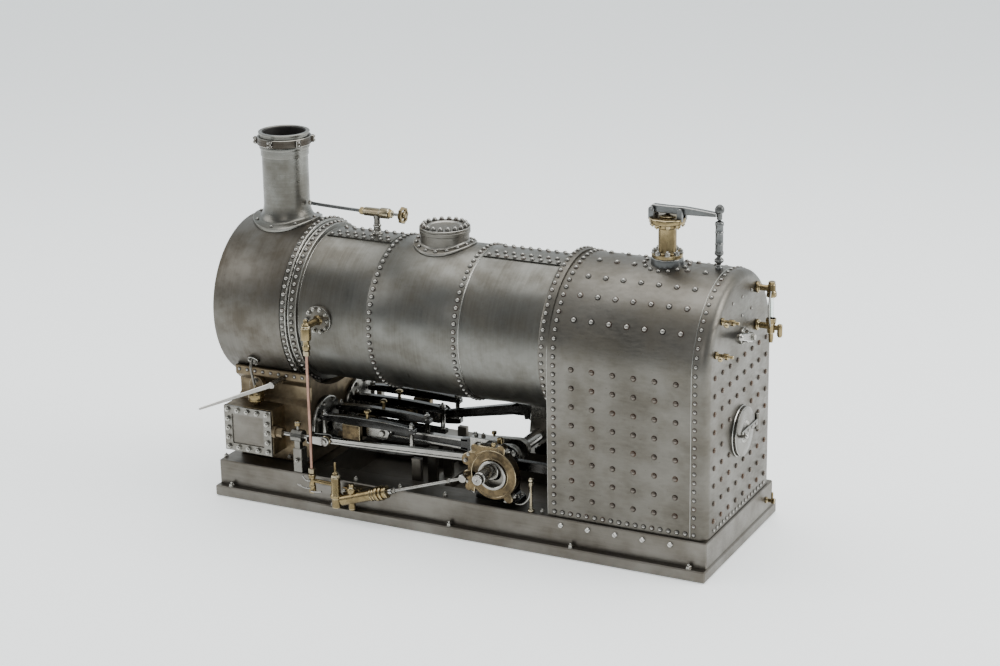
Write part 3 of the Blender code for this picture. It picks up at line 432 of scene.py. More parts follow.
def place_at(x, y, z, axis, way=1):
    """A place for a fastening that stands along an axis; way -1 turns it round."""
    normal = Vector()
    normal["XYZ".index(axis)] = way
    return Vector((x, y, z)), normal


def on_boiler(x, angle, radius, height=BOILER_Z):
    """A place on a round shell; the angle runs from the top towards the near side, in degrees."""
    a = math.radians(angle)
    normal = Vector((0, -math.sin(a), math.cos(a)))
    return Vector((x, 0, height)) + normal * radius, normal


def round_barrel(x, count, radius, shift=0):
    """Evenly spaced places round the barrel; shift is a share of the pitch."""
    return [on_boiler(x, 360 * (i + shift) / count, radius) for i in range(count)]


def ring_of(count, radius, centre, axis, facing=1, start=0.0):
    """Places round a bolt circle whose axis is X, Y or Z, facing along it."""
    index = "XYZ".index(axis)
    normal = Vector()
    normal[index] = facing
    places = []
    for i in range(count):
        a = math.radians(start + 360 * i / count)
        flat = [radius * math.cos(a), radius * math.sin(a)]
        flat.insert(index, 0)
        places.append((Vector(centre) + Vector(flat), normal))
    return places


# --------------------------------------------------------------- materials
def node(tree, kind, inputs=None, **settings):
    """Adds a shader node; an input is a value or another node's socket."""
    made = tree.nodes.new(kind)
    for key, value in settings.items():
        setattr(made, key, value)
    for key, value in (inputs or {}).items():
        socket = made.inputs[key]
        if isinstance(value, bpy.types.NodeSocket):
            tree.links.new(value, socket)
        else:
            socket.default_value = value
    return made


def ramp(tree, value, low, high, to_low=0.0, to_high=1.0):
    """Maps a range of a value to another range, held at its ends."""
    return node(tree, "ShaderNodeMapRange",
                {"Value": value, "From Min": low, "From Max": high, "To Min": to_low,
                 "To Max": to_high}).outputs["Result"]


def blended(tree, amount, first, second):
    """Mixes two colours; each is a tuple or a socket."""
    mix = node(tree, "ShaderNodeMix", data_type="RGBA")
    tree.links.new(amount, mix.inputs["Factor"])
    for key, colour in ((6, first), (7, second)):
        if isinstance(colour, tuple):
            mix.inputs[key].default_value = (*colour, 1)
        else:
            tree.links.new(colour, mix.inputs[key])
    return mix.outputs[2]


def noise(tree, vector, scale, detail=3.0, stretch=None, rough=0.55):
    """A noise value, stretched along the axes."""
    if stretch:
        vector = node(tree, "ShaderNodeMapping", {"Vector": vector, "Scale": stretch}).outputs["Vector"]
    return node(tree, "ShaderNodeTexNoise", {"Vector": vector, "Scale": scale, "Detail": detail,
                                             "Roughness": rough}).outputs["Fac"]


def wrapped(tree, vector, height):
    """Coordinates that run along the boiler, round it, and out from it."""
    parts = node(tree, "ShaderNodeSeparateXYZ", {"Vector": vector}).outputs
    rise = node(tree, "ShaderNodeMath", {0: parts["Z"], 1: height * MM}, operation="SUBTRACT").outputs[0]
    turn = node(tree, "ShaderNodeMath", {0: parts["Y"], 1: rise}, operation="ARCTAN2").outputs[0]
    swept = node(tree, "ShaderNodeMath", {0: turn, 1: BARREL_R * MM}, operation="MULTIPLY").outputs[0]
    return node(tree, "ShaderNodeCombineXYZ", {"X": parts["X"], "Y": swept}).outputs["Vector"]


def metal(name, base, stain, polish_and_highlight, rough=0.4, polished=0.2, grain=(1, 1, 1), grain_scale=700.0, depth=0.2,
          cloud=22.0, cloud_mix=0.7, spots=0.3, spot_colour=(0.05, 0.04, 0.03), wrap=None, tone_mix=0.0,
          tone_colour=(0.10, 0.05, 0.03), metallic=1.0, swirl=0.0):
    """A worked metal: base and stain clouds, fine grain, dark spots, and polish where a face has shine, which
    on rivet and stay domes is a painted highlight.
    """
    material = bpy.data.materials.new(name)
    material.use_nodes = True
    tree = material.node_tree
    shader = tree.nodes["Principled BSDF"]
    shader.inputs["Metallic"].default_value = metallic
    place = node(tree, "ShaderNodeTexCoord").outputs["Object"]
    along = wrapped(tree, place, wrap) if wrap else place
    lines = noise(tree, along, grain_scale, 2.0, grain)
    streaks = noise(tree, along, grain_scale * 0.55, 3.0, grain)
    clouds = noise(tree, place, cloud, 6.0, rough=0.62)
    broad = noise(tree, place, cloud * 0.37, 3.0)
    shine = node(tree, "ShaderNodeAttribute", attribute_name="shine").outputs["Fac"]

    stained = ramp(tree, clouds, 0.40, 0.62, 0.0, cloud_mix)
    colour = blended(tree, stained, base, stain)
    patch = ramp(tree, broad, 0.4, 0.66, 0.0, 0.45)
    colour = blended(tree, patch, colour, tuple(c * 0.62 for c in stain))
    fine = ramp(tree, streaks, 0.35, 0.75, 0.0, 0.16)
    colour = blended(tree, fine, colour, tuple(min(1.0, c * 1.35) for c in base))
    if spots:
        speck = noise(tree, place, 420.0, 2.0)
        colour = blended(tree, ramp(tree, speck, 0.68, 0.76, 0.0, spots), colour, spot_colour)
    if tone_mix:
        tone = node(tree, "ShaderNodeAttribute", attribute_name="tone").outputs["Fac"]
        colour = blended(tree, ramp(tree, tone, 0.55, 0.95, 0.0, tone_mix), colour, tone_colour)
    # The polish colour where a face has shine: broken edges, and a painted highlight on rivet and stay domes.
    colour = blended(tree, shine, colour, polish_and_highlight)
    tree.links.new(colour, shader.inputs["Base Color"])

    dull = ramp(tree, clouds, 0.3, 0.75, rough - 0.07, rough + 0.12)
    worked = ramp(tree, lines, 0.25, 0.75, -0.07, 0.07)
    dull = node(tree, "ShaderNodeMath", {0: dull, 1: worked}, operation="ADD").outputs[0]
    gloss = node(tree, "ShaderNodeMix", {"Factor": shine, "A": dull, "B": polished}, data_type="FLOAT")
    tree.links.new(gloss.outputs["Result"], shader.inputs["Roughness"])

    surface = lines
    if swirl:
        loops = noise(tree, place, 260.0, 4.0, (1, 1, 3), 0.7)
        surface = node(tree, "ShaderNodeMath", {0: lines, 1: loops}, operation="ADD").outputs[0]
    bump = node(tree, "ShaderNodeBump", {"Height": surface, "Strength": depth, "Distance": 0.0002})
    tree.links.new(bump.outputs["Normal"], shader.inputs["Normal"])
    return material


def glass_material():
    """Clear gauge glass with a faint haze."""
    material = bpy.data.materials.new("gauge_glass")
    material.use_nodes = True
    tree = material.node_tree
    shader = tree.nodes["Principled BSDF"]
    shader.inputs["Transmission Weight"].default_value = 1.0
    shader.inputs["IOR"].default_value = 1.47
    place = node(tree, "ShaderNodeTexCoord").outputs["Object"]
    haze = noise(tree, place, 300.0, 2.0)
    tree.links.new(ramp(tree, haze, 0.4, 0.8, 0.02, 0.12), shader.inputs["Roughness"])
    tree.links.new(blended(tree, haze, (0.93, 0.97, 0.95), (0.86, 0.92, 0.90)), shader.inputs["Base Color"])
    return material


STEEL = (0.180, 0.178, 0.164)
STEEL_STAIN = (0.108, 0.098, 0.080)
POLISH = (0.50, 0.49, 0.455)
# Each metal: name, colours of base, stain and polish, roughness, roughness where polished, grain stretch,
# grain scale, bump, cloud scale, cloud amount, spot amount and spot colour
MATERIALS = {
    "barrel": metal("barrel_plate", STEEL, STEEL_STAIN, POLISH, 0.38, 0.26, (1, 0.016, 1), 900.0,
                    0.11, 30.0, 0.75, wrap=BOILER_Z),
    "smokebox": metal("smokebox_plate", (0.145, 0.136, 0.120), (0.088, 0.075, 0.058), POLISH, 0.42,
                      0.26, (1, 0.02, 1), 800.0, 0.16, 32.0, 0.9, wrap=BOILER_Z),
    "plate": metal("firebox_plate", (0.165, 0.156, 0.139), (0.112, 0.100, 0.080), POLISH, 0.40,
                   0.28, (0.25, 0.25, 1), 600.0, 0.16, 26.0, swirl=1.0),
    "chimney": metal("chimney_tube", (0.18, 0.178, 0.163), (0.10, 0.090, 0.073),
                     (0.34, 0.33, 0.30), 0.3, 0.24, (0.03, 0.03, 1), 1100.0, 0.03, 34.0),
    "bed": metal("bed_plate", (0.19, 0.178, 0.158), (0.12, 0.105, 0.085), POLISH, 0.4, 0.28,
                 (0.06, 1, 1), 700.0, 0.16, 22.0, 0.75),
    "steel": metal("machined_steel", (0.20, 0.193, 0.176), (0.14, 0.126, 0.104), POLISH, 0.3, 0.2,
                   (0.3, 1, 1), 900.0, 0.16, 45.0, 0.6),
    "lever": metal("lever_steel", (0.15, 0.155, 0.155), (0.085, 0.083, 0.078), (0.34, 0.34, 0.33),
                   0.34, 0.24, (0.3, 1, 1), 900.0, 0.14, 45.0, 0.6),
    "bright": metal("polished_steel", (0.34, 0.33, 0.31), (0.20, 0.188, 0.165), (0.52, 0.51, 0.48),
                    0.2, 0.14, (0.08, 1, 1), 900.0, 0.1, 45.0, 0.5, 0.15),
    # On rivet and stay heads the dark base colour, where shine is low, is partly patina and partly painted
    # shade, and the polish colour is a painted highlight on the dome tops.
    "rivet": metal("snap_rivet", (0.055, 0.051, 0.046), (0.032, 0.028, 0.023), (0.36, 0.35, 0.325),
                   0.42, 0.17, (1, 1, 1), 900.0, 0.1, 60.0, 0.5, tone_mix=0.35),
    "stay": metal("rusted_stay", (0.05, 0.036, 0.028), (0.026, 0.02, 0.016), (0.165, 0.145, 0.125),
                  0.48, 0.3, (1, 1, 1), 900.0, 0.25, 90.0, 0.6, 0.4, (0.16, 0.07, 0.03),
                  tone_mix=0.5, tone_colour=(0.13, 0.06, 0.03)),
    "nut": metal("bright_nut", (0.24, 0.232, 0.21), (0.12, 0.105, 0.085), (0.56, 0.55, 0.51), 0.3,
                 0.2, (1, 1, 1), 900.0, 0.12, 80.0, 0.6, tone_mix=0.5,
                 tone_colour=(0.09, 0.074, 0.056)),
    "dark": metal("oiled_steel", (0.062, 0.061, 0.059), (0.028, 0.026, 0.024), (0.38, 0.375, 0.36),
                  0.22, 0.18, (0.2, 1, 1), 700.0, 0.16, 35.0, 0.8),
    "oiled_band": metal("oiled_band", (0.10, 0.09, 0.076), (0.05, 0.04, 0.031), (0.30, 0.29, 0.26),
                        0.34, 0.22, (0.3, 0.3, 1), 700.0, 0.16, 50.0, 0.8),
    "soot": metal("soot", (0.03, 0.028, 0.026), (0.016, 0.014, 0.013), (0.09, 0.085, 0.08), 0.6,
                  0.4, (1, 1, 0.3), 300.0, 0.4, 60.0, 0.8, metallic=0.4),
    "brass": metal("aged_brass", (0.27, 0.208, 0.108), (0.145, 0.108, 0.056), (0.48, 0.395, 0.24),
                   0.28, 0.18, (1, 1, 0.3), 700.0, 0.15, 60.0, 0.8, 0.5, (0.06, 0.042, 0.022)),
    "pale_brass": metal("silvered_brass", (0.38, 0.33, 0.23), (0.22, 0.175, 0.11),
                        (0.60, 0.55, 0.42), 0.26, 0.18, (0.3, 1, 1), 700.0, 0.15, 60.0, 0.7, 0.4,
                        (0.10, 0.075, 0.045)),
    "bronze": metal("strap_bronze", (0.155, 0.114, 0.062), (0.058, 0.044, 0.028),
                    (0.40, 0.33, 0.21), 0.32, 0.24, (1, 1, 1), 500.0, 0.3, 120.0, 0.95, 0.6,
                    (0.035, 0.027, 0.018)),
    "casting": metal("bronze_casting", (0.225, 0.178, 0.115), (0.10, 0.076, 0.048),
                     (0.34, 0.275, 0.18), 0.44, 0.3, (1, 1, 1), 240.0, 0.5, 45.0, 0.9, 0.5,
                     (0.035, 0.028, 0.02)),
    "copper": metal("aged_copper", (0.36, 0.215, 0.165), (0.20, 0.115, 0.085), (0.58, 0.41, 0.335),
                    0.32, 0.22, (1, 1, 0.1), 700.0, 0.15, 70.0, 0.7, 0.35, (0.10, 0.06, 0.04)),
    "glass": glass_material(),
}


# ------------------------------------------------------------------ pieces
def piece(name, body, parts, replaces=(), sharp=31):
    """Makes one object out of (shape, material) parts, in metres, riding on a body."""
    whole = merged(*(shape for shape, _ in parts))
    mesh = bpy.data.meshes.new(name)
    mesh.from_pydata((whole.verts * MM).tolist(), [], whole.faces)
    made = bpy.data.objects.new(name, mesh)
    bpy.context.scene.collection.objects.link(made)
    names = list(dict.fromkeys(material for _, material in parts))
    for material in names:
        mesh.materials.append(MATERIALS[material])
    index = []
    for shape, material in parts:
        index += [names.index(material)] * len(shape.faces)
    mesh.polygons.foreach_set("material_index", index)
    for title, values in (("shine", whole.shine), ("tone", whole.tone)):
        layer = mesh.attributes.new(title, "FLOAT", "FACE")
        layer.data.foreach_set("value", np.array(values, np.float32))
    bm = bmesh.new()
    bm.from_mesh(mesh)
    bmesh.ops.recalc_face_normals(bm, faces=bm.faces)
    bm.to_mesh(mesh)
    bm.free()
    mesh.shade_smooth()
    mesh.set_sharp_from_angle(angle=math.radians(sharp))
    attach(made, body)
    if replaces:
        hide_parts(*replaces)
    return made


def dress(material, *names):
    """Gives CAD nodes that stay a finished material."""
    for name in names:
        mesh = frame["nodes"][name].data
        mesh.materials.clear()
        mesh.materials.append(MATERIALS[material])


# ------------------------------------------------------------------ boiler
def loft(loops):
    """Joins loops of the same number of points into a closed ring of bands."""
    count = len(loops[0])
    verts = [p for loop in loops for p in loop]
    faces, shine = [], []
    for r, loop in enumerate(loops):
        low, high = r * count, (r + 1) % len(loops) * count
        following = loops[(r + 1) % len(loops)]
        narrow = (Vector(loop[4]) - Vector(following[4])).length < NARROW
        faces += band(count, low, high)
        shine += [0.6 if narrow else 0.0] * count
    return Shape(verts, faces, shine)


def firebox_loop(x, inset, steps=56):
    """Flat-sided outline with a round crown at a station of the firebox."""
    radius = FIREBOX_R - inset
    bottom = BED_TOP + 0.3
    outline = [(-radius, bottom), (radius, bottom)] + arc((0, CROWN_Z), radius, 0, 180, steps)
    return [(x, y, z) for y, z in outline]


def hole_loop(loop, x, centre, radius):
    """Points of a round hole, one on the way to each point of the loop round it."""
    points = []
    for _, y, z in loop:
        way = Vector((y - centre[0], z - centre[1])).normalized() * radius
        points.append((x, centre[0] + way.x, centre[1] + way.y))
    return points


def over_firebox(x, pitch=8.6, radius=FIREBOX_R, first=50.0):
    """Places along the firebox outline: up the near side, over the crown and down the far side."""
    places = []
    rise = CROWN_Z - first
    total = 2 * rise + math.pi * radius
    for i in range(int(total / pitch) + 1):
        s = i * pitch
        if s < rise:
            places.append(place_at(x, -radius, first + s, "Y", -1))
        elif s < rise + math.pi * radius:
            places.append(on_boiler(x, 90 - math.degrees((s - rise) / radius), radius, CROWN_Z))
        else:
            height = CROWN_Z - (s - rise - math.pi * radius)
            places.append(place_at(x, radius, height, "Y"))
    return places


def make_smokebox():
    """Smokebox shell with the rivets of its saddle and of its front ring."""
    left, right = SMOKEBOX_X
    outer, inner = SMOKEBOX_R, SMOKEBOX_R - PLATE
    shell = lathe([(42, left), (outer - 2.2, left), (outer - 0.7, left + 0.6), (outer, left + 2.2),
                   (outer, right), (inner, right), (inner, left + PLATE), (42, left + PLATE)], "X",
                  (0, 0, SMOKEBOX_Z), 128, 0, True)
    saddle_row = [on_boiler(x, side * 136, outer, SMOKEBOX_Z) for side in (1, -1)
                  for x in np.linspace(left + 14, right - 8, 8)]
    face = ring_of(24, 58, (left, 0, SMOKEBOX_Z), "X", -1)
    piece("smokebox_shell", "engine",
          [(shell, "smokebox"), riveted(saddle_row + face, 1.8, 1.6)], ("smokebox",))


def make_smokebox_door():
    """Dished door with two strap hinges and its pair of handles."""
    face = SMOKEBOX_X[0] - 0.3
    z = SMOKEBOX_Z
    hinges = (-22, 22)
    dish = [(0, face), (46, face), (46, face - 1.6), (45, face - 2.6), (40, face - 3.2), (30, face - 4.2),
            (18, face - 4.9), (7, face - 5.2), (6, face - 6), (6, face - 8), (3, face - 8.6), (3, face - 9),
            (0, face - 9)]
    door = lathe(dish, "X", (0, 0, z), 96, 0.3)
    straps = [block((face - 5.4, 6, z + rise - 2.4), (face - 1.6, 50, z + rise + 2.4), 0.4)
              for rise in hinges]
    hinge = lathe([(0, -27), (2.2, -27), (2.2, -18), (1.7, -17), (1.7, 17), (2.2, 18), (2.2, 27), (0, 27)],
                  "Z", (face - 3.2, 50, z), 20)
    handles = [tube([(face - 9, 0, z), (face - 10, 1, z - 7), (face - 11, 2, z - 15)], 1.3),
               tube([(face - 7, 0, z), (face - 8, 5, z + 6), (face - 9, 10, z + 12)], 1.3)]
    bolts = [place_at(face - 5.2, y, z + rise, "X", -1) for rise in hinges for y in (16, 28, 40)]
    piece("smokebox_door_dished", "smokebox_door",
          [(door, "smokebox"), (merged(*straps, hinge), "steel"), (merged(*handles), "bright"),
           riveted(bolts, 1.3)], ("smokebox_door",))


def make_chimney():
    """Chimney with its flared foot, beaded rim, sooted lining and clamp band."""
    x, top = CHIMNEY.x, CHIMNEY_TOP
    foot_bolt_r = 87.2
    tube_r, foot = 23.3, 35.3
    rings = [(foot, 84.3, 0), (foot + 0.1, 85.4, 0), (foot, 86.6, 0), (foot - 0.7, 87.1, 0)]
    for i in range(9):
        turn = math.radians(90 * i / 8)
        rings.append((tube_r + 5.4 * (1 - math.sin(turn)), 87.3, 15 * (1 - math.cos(turn))))
    rings += [(tube_r, None, 302), (tube_r, None, 339.3), (24.1, None, 339.7), (24.2, None, 340.2),
              (24.2, None, 347), (25.2, None, 347.3), (25.4, None, 347.8), (25.4, None, 350.4),
              (25.2, None, 350.8), (24.9, None, 351), (24.9, None, top - 2.6), (25.6, None, top - 2.2),
              (25.9, None, top - 1.6), (25.9, None, top - 0.4), (25.4, None, top), (22.6, None, top),
              (22.2, None, top - 0.4), (22.2, None, 278), (22.2, 84.3, 0)]
    body = saddled(x, rings, SMOKEBOX_Z)
    lining = lathe([(0, 268), (22.1, 268), (22.1, top - 0.8), (21.3, top - 1.4), (21.3, 270), (0, 270)],
                   "Z", (x, 0, 0), 72, 0)
    band = collar(25, 27.4, 351.2, 359.2, "Z", (x, 0, 0), 96, 0.5)
    seam = lathe([(27.3, 354.6), (27.7, 354.8), (27.7, 355.4), (27.3, 355.6)], "Z", (x, 0, 0), 96, 0, True)
    foot_bolts, lugs, clamp_bolts = [], [], []
    for i in range(8):
        px, py = polar((x, 0), 31.4, 45 * i)
        normal = Vector((0, py, math.sqrt(foot_bolt_r ** 2 - py ** 2))).normalized()
        foot_bolts.append((Vector((px, 0, SMOKEBOX_Z)) + normal * foot_bolt_r, normal))
    for i in range(6):
        a = math.radians(30 + 60 * i)
        out = Vector((math.cos(a), math.sin(a), 0))
        along = Vector((-out.y, out.x, 0))
        centre = Vector((x, 0, 355.2))
        place = Matrix.Translation(centre + out * 27.8) @ Matrix.Rotation(a, 4, "Z")
        lugs.append(block((-2.4, -2.4, -3.6), (2.4, 2.4, 3.6), 0.6).at(place))
        for rise in (-1.9, 1.9):
            clamp_bolts.append((centre + out * 30.1 + Vector((0, 0, rise)), out))
            clamp_bolts.append((centre + out * 28.4 + along * 2.3 + Vector((0, 0, rise)), along))
    piece("chimney_stack", "engine",
          [(body, "chimney"), (lining, "soot"), (merged(band, seam, *lugs), "oiled_band"),
           riveted(foot_bolts, 1.75, 1.6), riveted(clamp_bolts, 1.45, 1.2, 0.3)],
          ("chimney",))


def butt_strap(low, high, half_angle, radius, thickness):
    """A curved cover plate riveted over a joint along the barrel's top."""
    angles = np.linspace(-half_angle, half_angle, 25)
    loops = []
    for x, lift in ((low, 0), (low + 0.3, thickness), (high - 0.3, thickness), (high, 0)):
        outer = [on_boiler(x, a, radius + lift)[0] for a in angles]
        inner = [on_boiler(x, a, radius - 1.0)[0] for a in reversed(angles)]
        loops.append([tuple(p) for p in outer + inner])
    count = len(loops[0])
    verts = [p for loop in loops for p in loop]
    faces = []
    for r in range(len(loops) - 1):
        faces += band(count, r * count, (r + 1) * count)
    faces += [tuple(range(count)), tuple(range((len(loops) - 1) * count, len(loops) * count))]
    return Shape(verts, faces)


def make_barrel():
    """Barrel with its stepped rings, butt straps and rows of rivets."""
    left, right = BARREL_X
    inner = BARREL_R - PLATE
    front_r, second_r, strap, pitch = 83.6, 79.7, 1.3, 9.2
    profile = [(inner, left), (front_r, left), (front_r, -182.7), (82.6, -182), (80.1, -181.8),
               (second_r, -181.4), (second_r, -172.9), (79.2, -172.6), (75.2, -172.4), (BARREL_R, -172),
               (BARREL_R, SEAMS[0]), (STRAKE_R - 0.1, SEAMS[0]), (STRAKE_R, SEAMS[0] + 0.25),
               (STRAKE_R, SEAMS[1] - 0.25), (STRAKE_R - 0.1, SEAMS[1]), (BARREL_R, SEAMS[1]),
               (BARREL_R, right), (inner, right)]
    shell = lathe(profile, "X", (0, 0, BOILER_Z), 160, 0.3, True)
    strap_left = butt_strap(-170, SEAMS[0] - 0.6, 12.9, BARREL_R, strap)
    strap_right = butt_strap(SEAMS[1] + 0.6, 90, 15.3, BARREL_R, strap)
    rings = round_barrel(-185.5, 66, front_r) + round_barrel(-177.5, 66, second_r, 0.5)
    rings += round_barrel(SEAMS[0] + 4, 62, STRAKE_R) + round_barrel(SEAMS[1] - 4.5, 62, STRAKE_R)
    straps = []
    for low, high, rows in ((-166, -101, (10.6, 5.6)), (11, 87, (13.0, 7.4))):
        count = int((high - low) / pitch) + 1
        for row, angle in enumerate(rows + tuple(-a for a in rows)):
            start = low + pitch / 2 * (row % 2)
            straps += [on_boiler(start + pitch * i, angle, BARREL_R + strap) for i in range(count)
                       if start + pitch * i < high + 1]
    piece("barrel_plates", "engine",
          [(merged(shell, strap_left, strap_right), "barrel"), riveted(rings, 2.25, 2.15, 0.5),
           riveted(straps, 2.1, 2.0, 0.5)], ("boiler_barrel",))


def make_firebox():
    """Firebox wrapper with its throat ring, valve seat, rivets and rows of stays."""
    left, right = FIREBOX_LEFT, FIREBOX_RIGHT
    outer = [(left, 0.6), (left + 0.5, 0.1), (left + 0.9, 0), (right - 0.5, 0), (right, 0.4)]
    loops = [firebox_loop(x, inset) for x, inset in outer]
    loops += [firebox_loop(right, PLATE), firebox_loop(left + PLATE, PLATE)]
    loops += [hole_loop(loops[0], x, (0, BOILER_Z), BARREL_R + 0.5) for x in (left + PLATE, left)]
    wrapper = loft(loops)
    ring = lathe([(75.4, left - 8), (76.6, left - 9), (81, left - 9.5), (82.7, left - 8.9),
                  (83.5, left - 7), (83.6, left - 6), (83.6, left + 1.2), (75.4, left + 1.2)], "X",
                 (0, 0, BOILER_Z), 128, 0, True)
    seat = lathe([(6, 264), (15.4, 264), (15.4, 277.6), (14.8, 279.9), (6, 279.9)], "Z", (SAFETY_X, 0, 0),
                 64, 0.5, True)
    small = over_firebox(left + 7.2)
    small += [place_at(x, side * FIREBOX_R, FOOT_ROW_Z, "Y", side) for side in (-1, 1)
              for x in np.linspace(left + 7.7, right - 4.8, 17)]
    small += round_barrel(left - 5, 66, 83.5)
    for i in range(15):
        x, y = polar((SAFETY_X, 0), 21.5, 24 * i + 6)
        small.append(on_boiler(x, math.degrees(math.asin(-y / FIREBOX_R)), FIREBOX_R, CROWN_Z))
    crown = []
    for angle in (60.6, 43.6, 28.1, 9.5):
        for i in range(7):
            x = 126 + 17.8 * i
            if angle > 10 or abs(x - SAFETY_X) > 24:
                crown += [on_boiler(x, side * angle, FIREBOX_R, CROWN_Z) for side in (1, -1)]
    stays = [place_at(127.8 + 21 * i, side * FIREBOX_R, 57.4 + 18.37 * j, "Y", side)
             for side in (-1, 1) for i in range(6) for j in range(8)]
    piece("firebox_plates", "engine",
          [(merged(wrapper, ring), "plate"), (seat, "lever"), riveted(small, 2.1, 2.05, 0.5),
           riveted(crown, 2.5, 2.35, 0.6), (scattered(rivet(*STAY), stays), "stay")],
          ("firebox_wrapper",))


def make_backhead():
    """Flanged backhead with its fire hole, regulator gland, rivets and stays."""
    left, right, round_r = BACKHEAD_X, BACKHEAD_FACE, 9
    loops = [firebox_loop(left, 0.3), firebox_loop(left + 0.3, 0)]
    for i in range(7):
        turn = math.radians(15 * i)
        loops.append(firebox_loop(right - round_r * (1 - math.sin(turn)), round_r * (1 - math.cos(turn))))
    loops += [hole_loop(loops[0], x, FIRE_HOLE, 20) for x in (right, right - 4)]
    loops += [firebox_loop(right - 4.2, round_r), firebox_loop(right - round_r, PLATE),
              firebox_loop(left, PLATE)]
    plate = loft(loops)
    y, z = FIRE_HOLE
    surround = collar(20, 25, right - 1, right + 2, "X", (0, y, z), 64, 0.5)
    gland = lathe([(2.5, right - 1), (8, right - 1), (8, right + 2.5), (5.5, right + 3), (5.5, right + 7.8),
                   (2.5, right + 7.8)], "X", (0, 0, REGULATOR_Z), 40, 0.4, True)
    edge = over_firebox(left + 3.2)
    edge += [place_at(left + 3.2, side * FIREBOX_R, FOOT_ROW_Z, "Y", side) for side in (-1, 1)]
    foot = [place_at(right, -66 + 8.25 * i, FOOT_ROW_Z, "X") for i in range(17)]
    door_row = ring_of(16, 22.5, (right + 2, y, z), "X", 1)
    stays = []
    for i in range(8):
        for j in range(9):
            stay_y, stay_z = -66.5 + 19 * i, 51 + 17.5 * j
            if math.hypot(stay_y - y, stay_z - z) > 30:
                stays.append(place_at(right, stay_y, stay_z, "X"))
    upper = [place_at(right, px, pz, "X") for px in (-24, 0, 24) for pz in (232, 250)]
    gland_nuts = ring_of(4, 6.7, (right + 2.5, 0, REGULATOR_Z), "X", 1, 45)
    piece("backhead_plate", "engine",
          [(plate, "plate"), (merged(surround, gland), "steel"), riveted(edge + foot, 1.8),
           riveted(door_row + upper, 1.5), nutted(gland_nuts, 2.4, 1.6),
           (scattered(rivet(*STAY), stays), "stay")], ("backhead",))


def make_manhole():
    """Manhole neck with its flared foot, and the bolted lid."""
    x, top = MANHOLE_X, span("manhole_ring")[1].z
    rings = [(31.4, 76.6, 0), (31.6, 77.4, 0), (31.4, 78.2, 0), (30.8, 78.6, 0)]
    for i in range(6):
        turn = math.radians(90 * i / 5)
        rings.append((24 + 1.4 * (1 - math.sin(turn)), 78.7, 1.4 * (1 - math.cos(turn))))
    rings += [(24, None, 274.5), (24, None, top - 4.2), (24.9, None, top - 3.8), (25.2, None, top - 3.4),
              (25.2, None, top - 0.4), (24.8, None, top), (17, None, top), (17, 76.6, 0)]
    body = saddled(x, rings, BOILER_Z)
    foot_rivets = []
    for i in range(16):
        px, py = polar((x, 0), 28.0, 22.5 * i + 8)
        foot_rivets.append(on_boiler(px, math.degrees(math.asin(-py / 78.7)), 78.6))
    piece("manhole_neck", "engine",
          [(body, "plate"), riveted(foot_rivets, 2.05, 1.9, 0.4)], ("manhole_ring",))
    cover = lathe([(0, top + 0.3), (25.2, top + 0.3), (25.2, top + 2.7), (16.4, top + 3), (15.8, top + 2.1),
                   (0, top + 2)], "Z", (x, 0, 0), 72, 0.3)
    nuts = ring_of(18, 21.3, (x, 0, top + 2.9), "Z", 1, 6)
    piece("manhole_lid", "engine",
          [(cover, "plate"), riveted(nuts, 2.55, 3.7, 0.3)], ("manhole_cover",))


# ------------------------------------------------------------- engine frame
CYLINDER_Y = 33
VALVE_Y, VALVE_Z = 83.5, 75
BAR_Y, BAR_HALF, SLIDE_HALF = 16.5, 3.3, 8.3
BORE_R = 20
SHEAVE_R = 14.7
ROD_PIN = {side: joint_at(f"{word}_rod_pin") for word, side in SIDES}
SHEAVE = {side: joint_at(f"{word}_strap_turn") for word, side in SIDES}
KNUCKLE_X = -140


def make_bed_fittings():
    """Fastenings and the drain cock on the bed, which itself is the CAD solid."""
    high = span("bed")[1]
    dress("bed", "bed")
    ledge = [place_at(x, side * 92, 11, "Z") for side in (-1, 1) for x in (-250, -130, 0, 130, 250)]
    under = [place_at(x, side * 88, 30, "Y", side) for side in (-1, 1)
             for x in (118, 146, 174, 202, 230)]
    studs = [place_at(x, side * 80, BED_TOP, "Z") for side in (-1, 1) for x in (-110, -60, -10, 95)]
    corners = [place_at(x, side * 78, BED_TOP, "Z") for side in (-1, 1) for x in (-264, 256)]
    at = Vector((high.x - 8, 70, 22))
    cock = merged(lathe([(0, 0), (3.2, 0), (3.2, 2), (1.9, 2.6), (1.9, 6), (2.8, 6.6), (2.8, 10), (0, 10)],
                        "X", (high.x - 2, 70, 22), 24),
                  rod(at + Vector((13, 0, 0)), at + Vector((13, 0, 9)), 1.1))
    pillar = merged(lathe([(0, BED_TOP), (3.4, BED_TOP), (3.4, BED_TOP + 2), (1.4, BED_TOP + 3.4),
                           (1.4, 62), (2.4, 62.6), (2.4, 66), (0, 66)], "Z", (84, -82, 0), 28),
                    ball((84, -82, 68.4), 2.6))
    route = [(84, -82, 60), (82, -82.5, 50), (76, -83, 43), (68, -82, 41.5), (61.5, -76, 41.5)]
    oil_pipe = tube(route, 1.0)
    piece("oil_cock", "engine", [(pillar, "pale_brass"), (oil_pipe, "bright")])
    piece("bed_fastenings", "engine",
          [nutted(ledge, 5, 3.2), (scattered(slotted(2.7, 1.8), under), "bright"),
           nutted(studs + corners, 3.6, 2.6), (cock, "brass")])


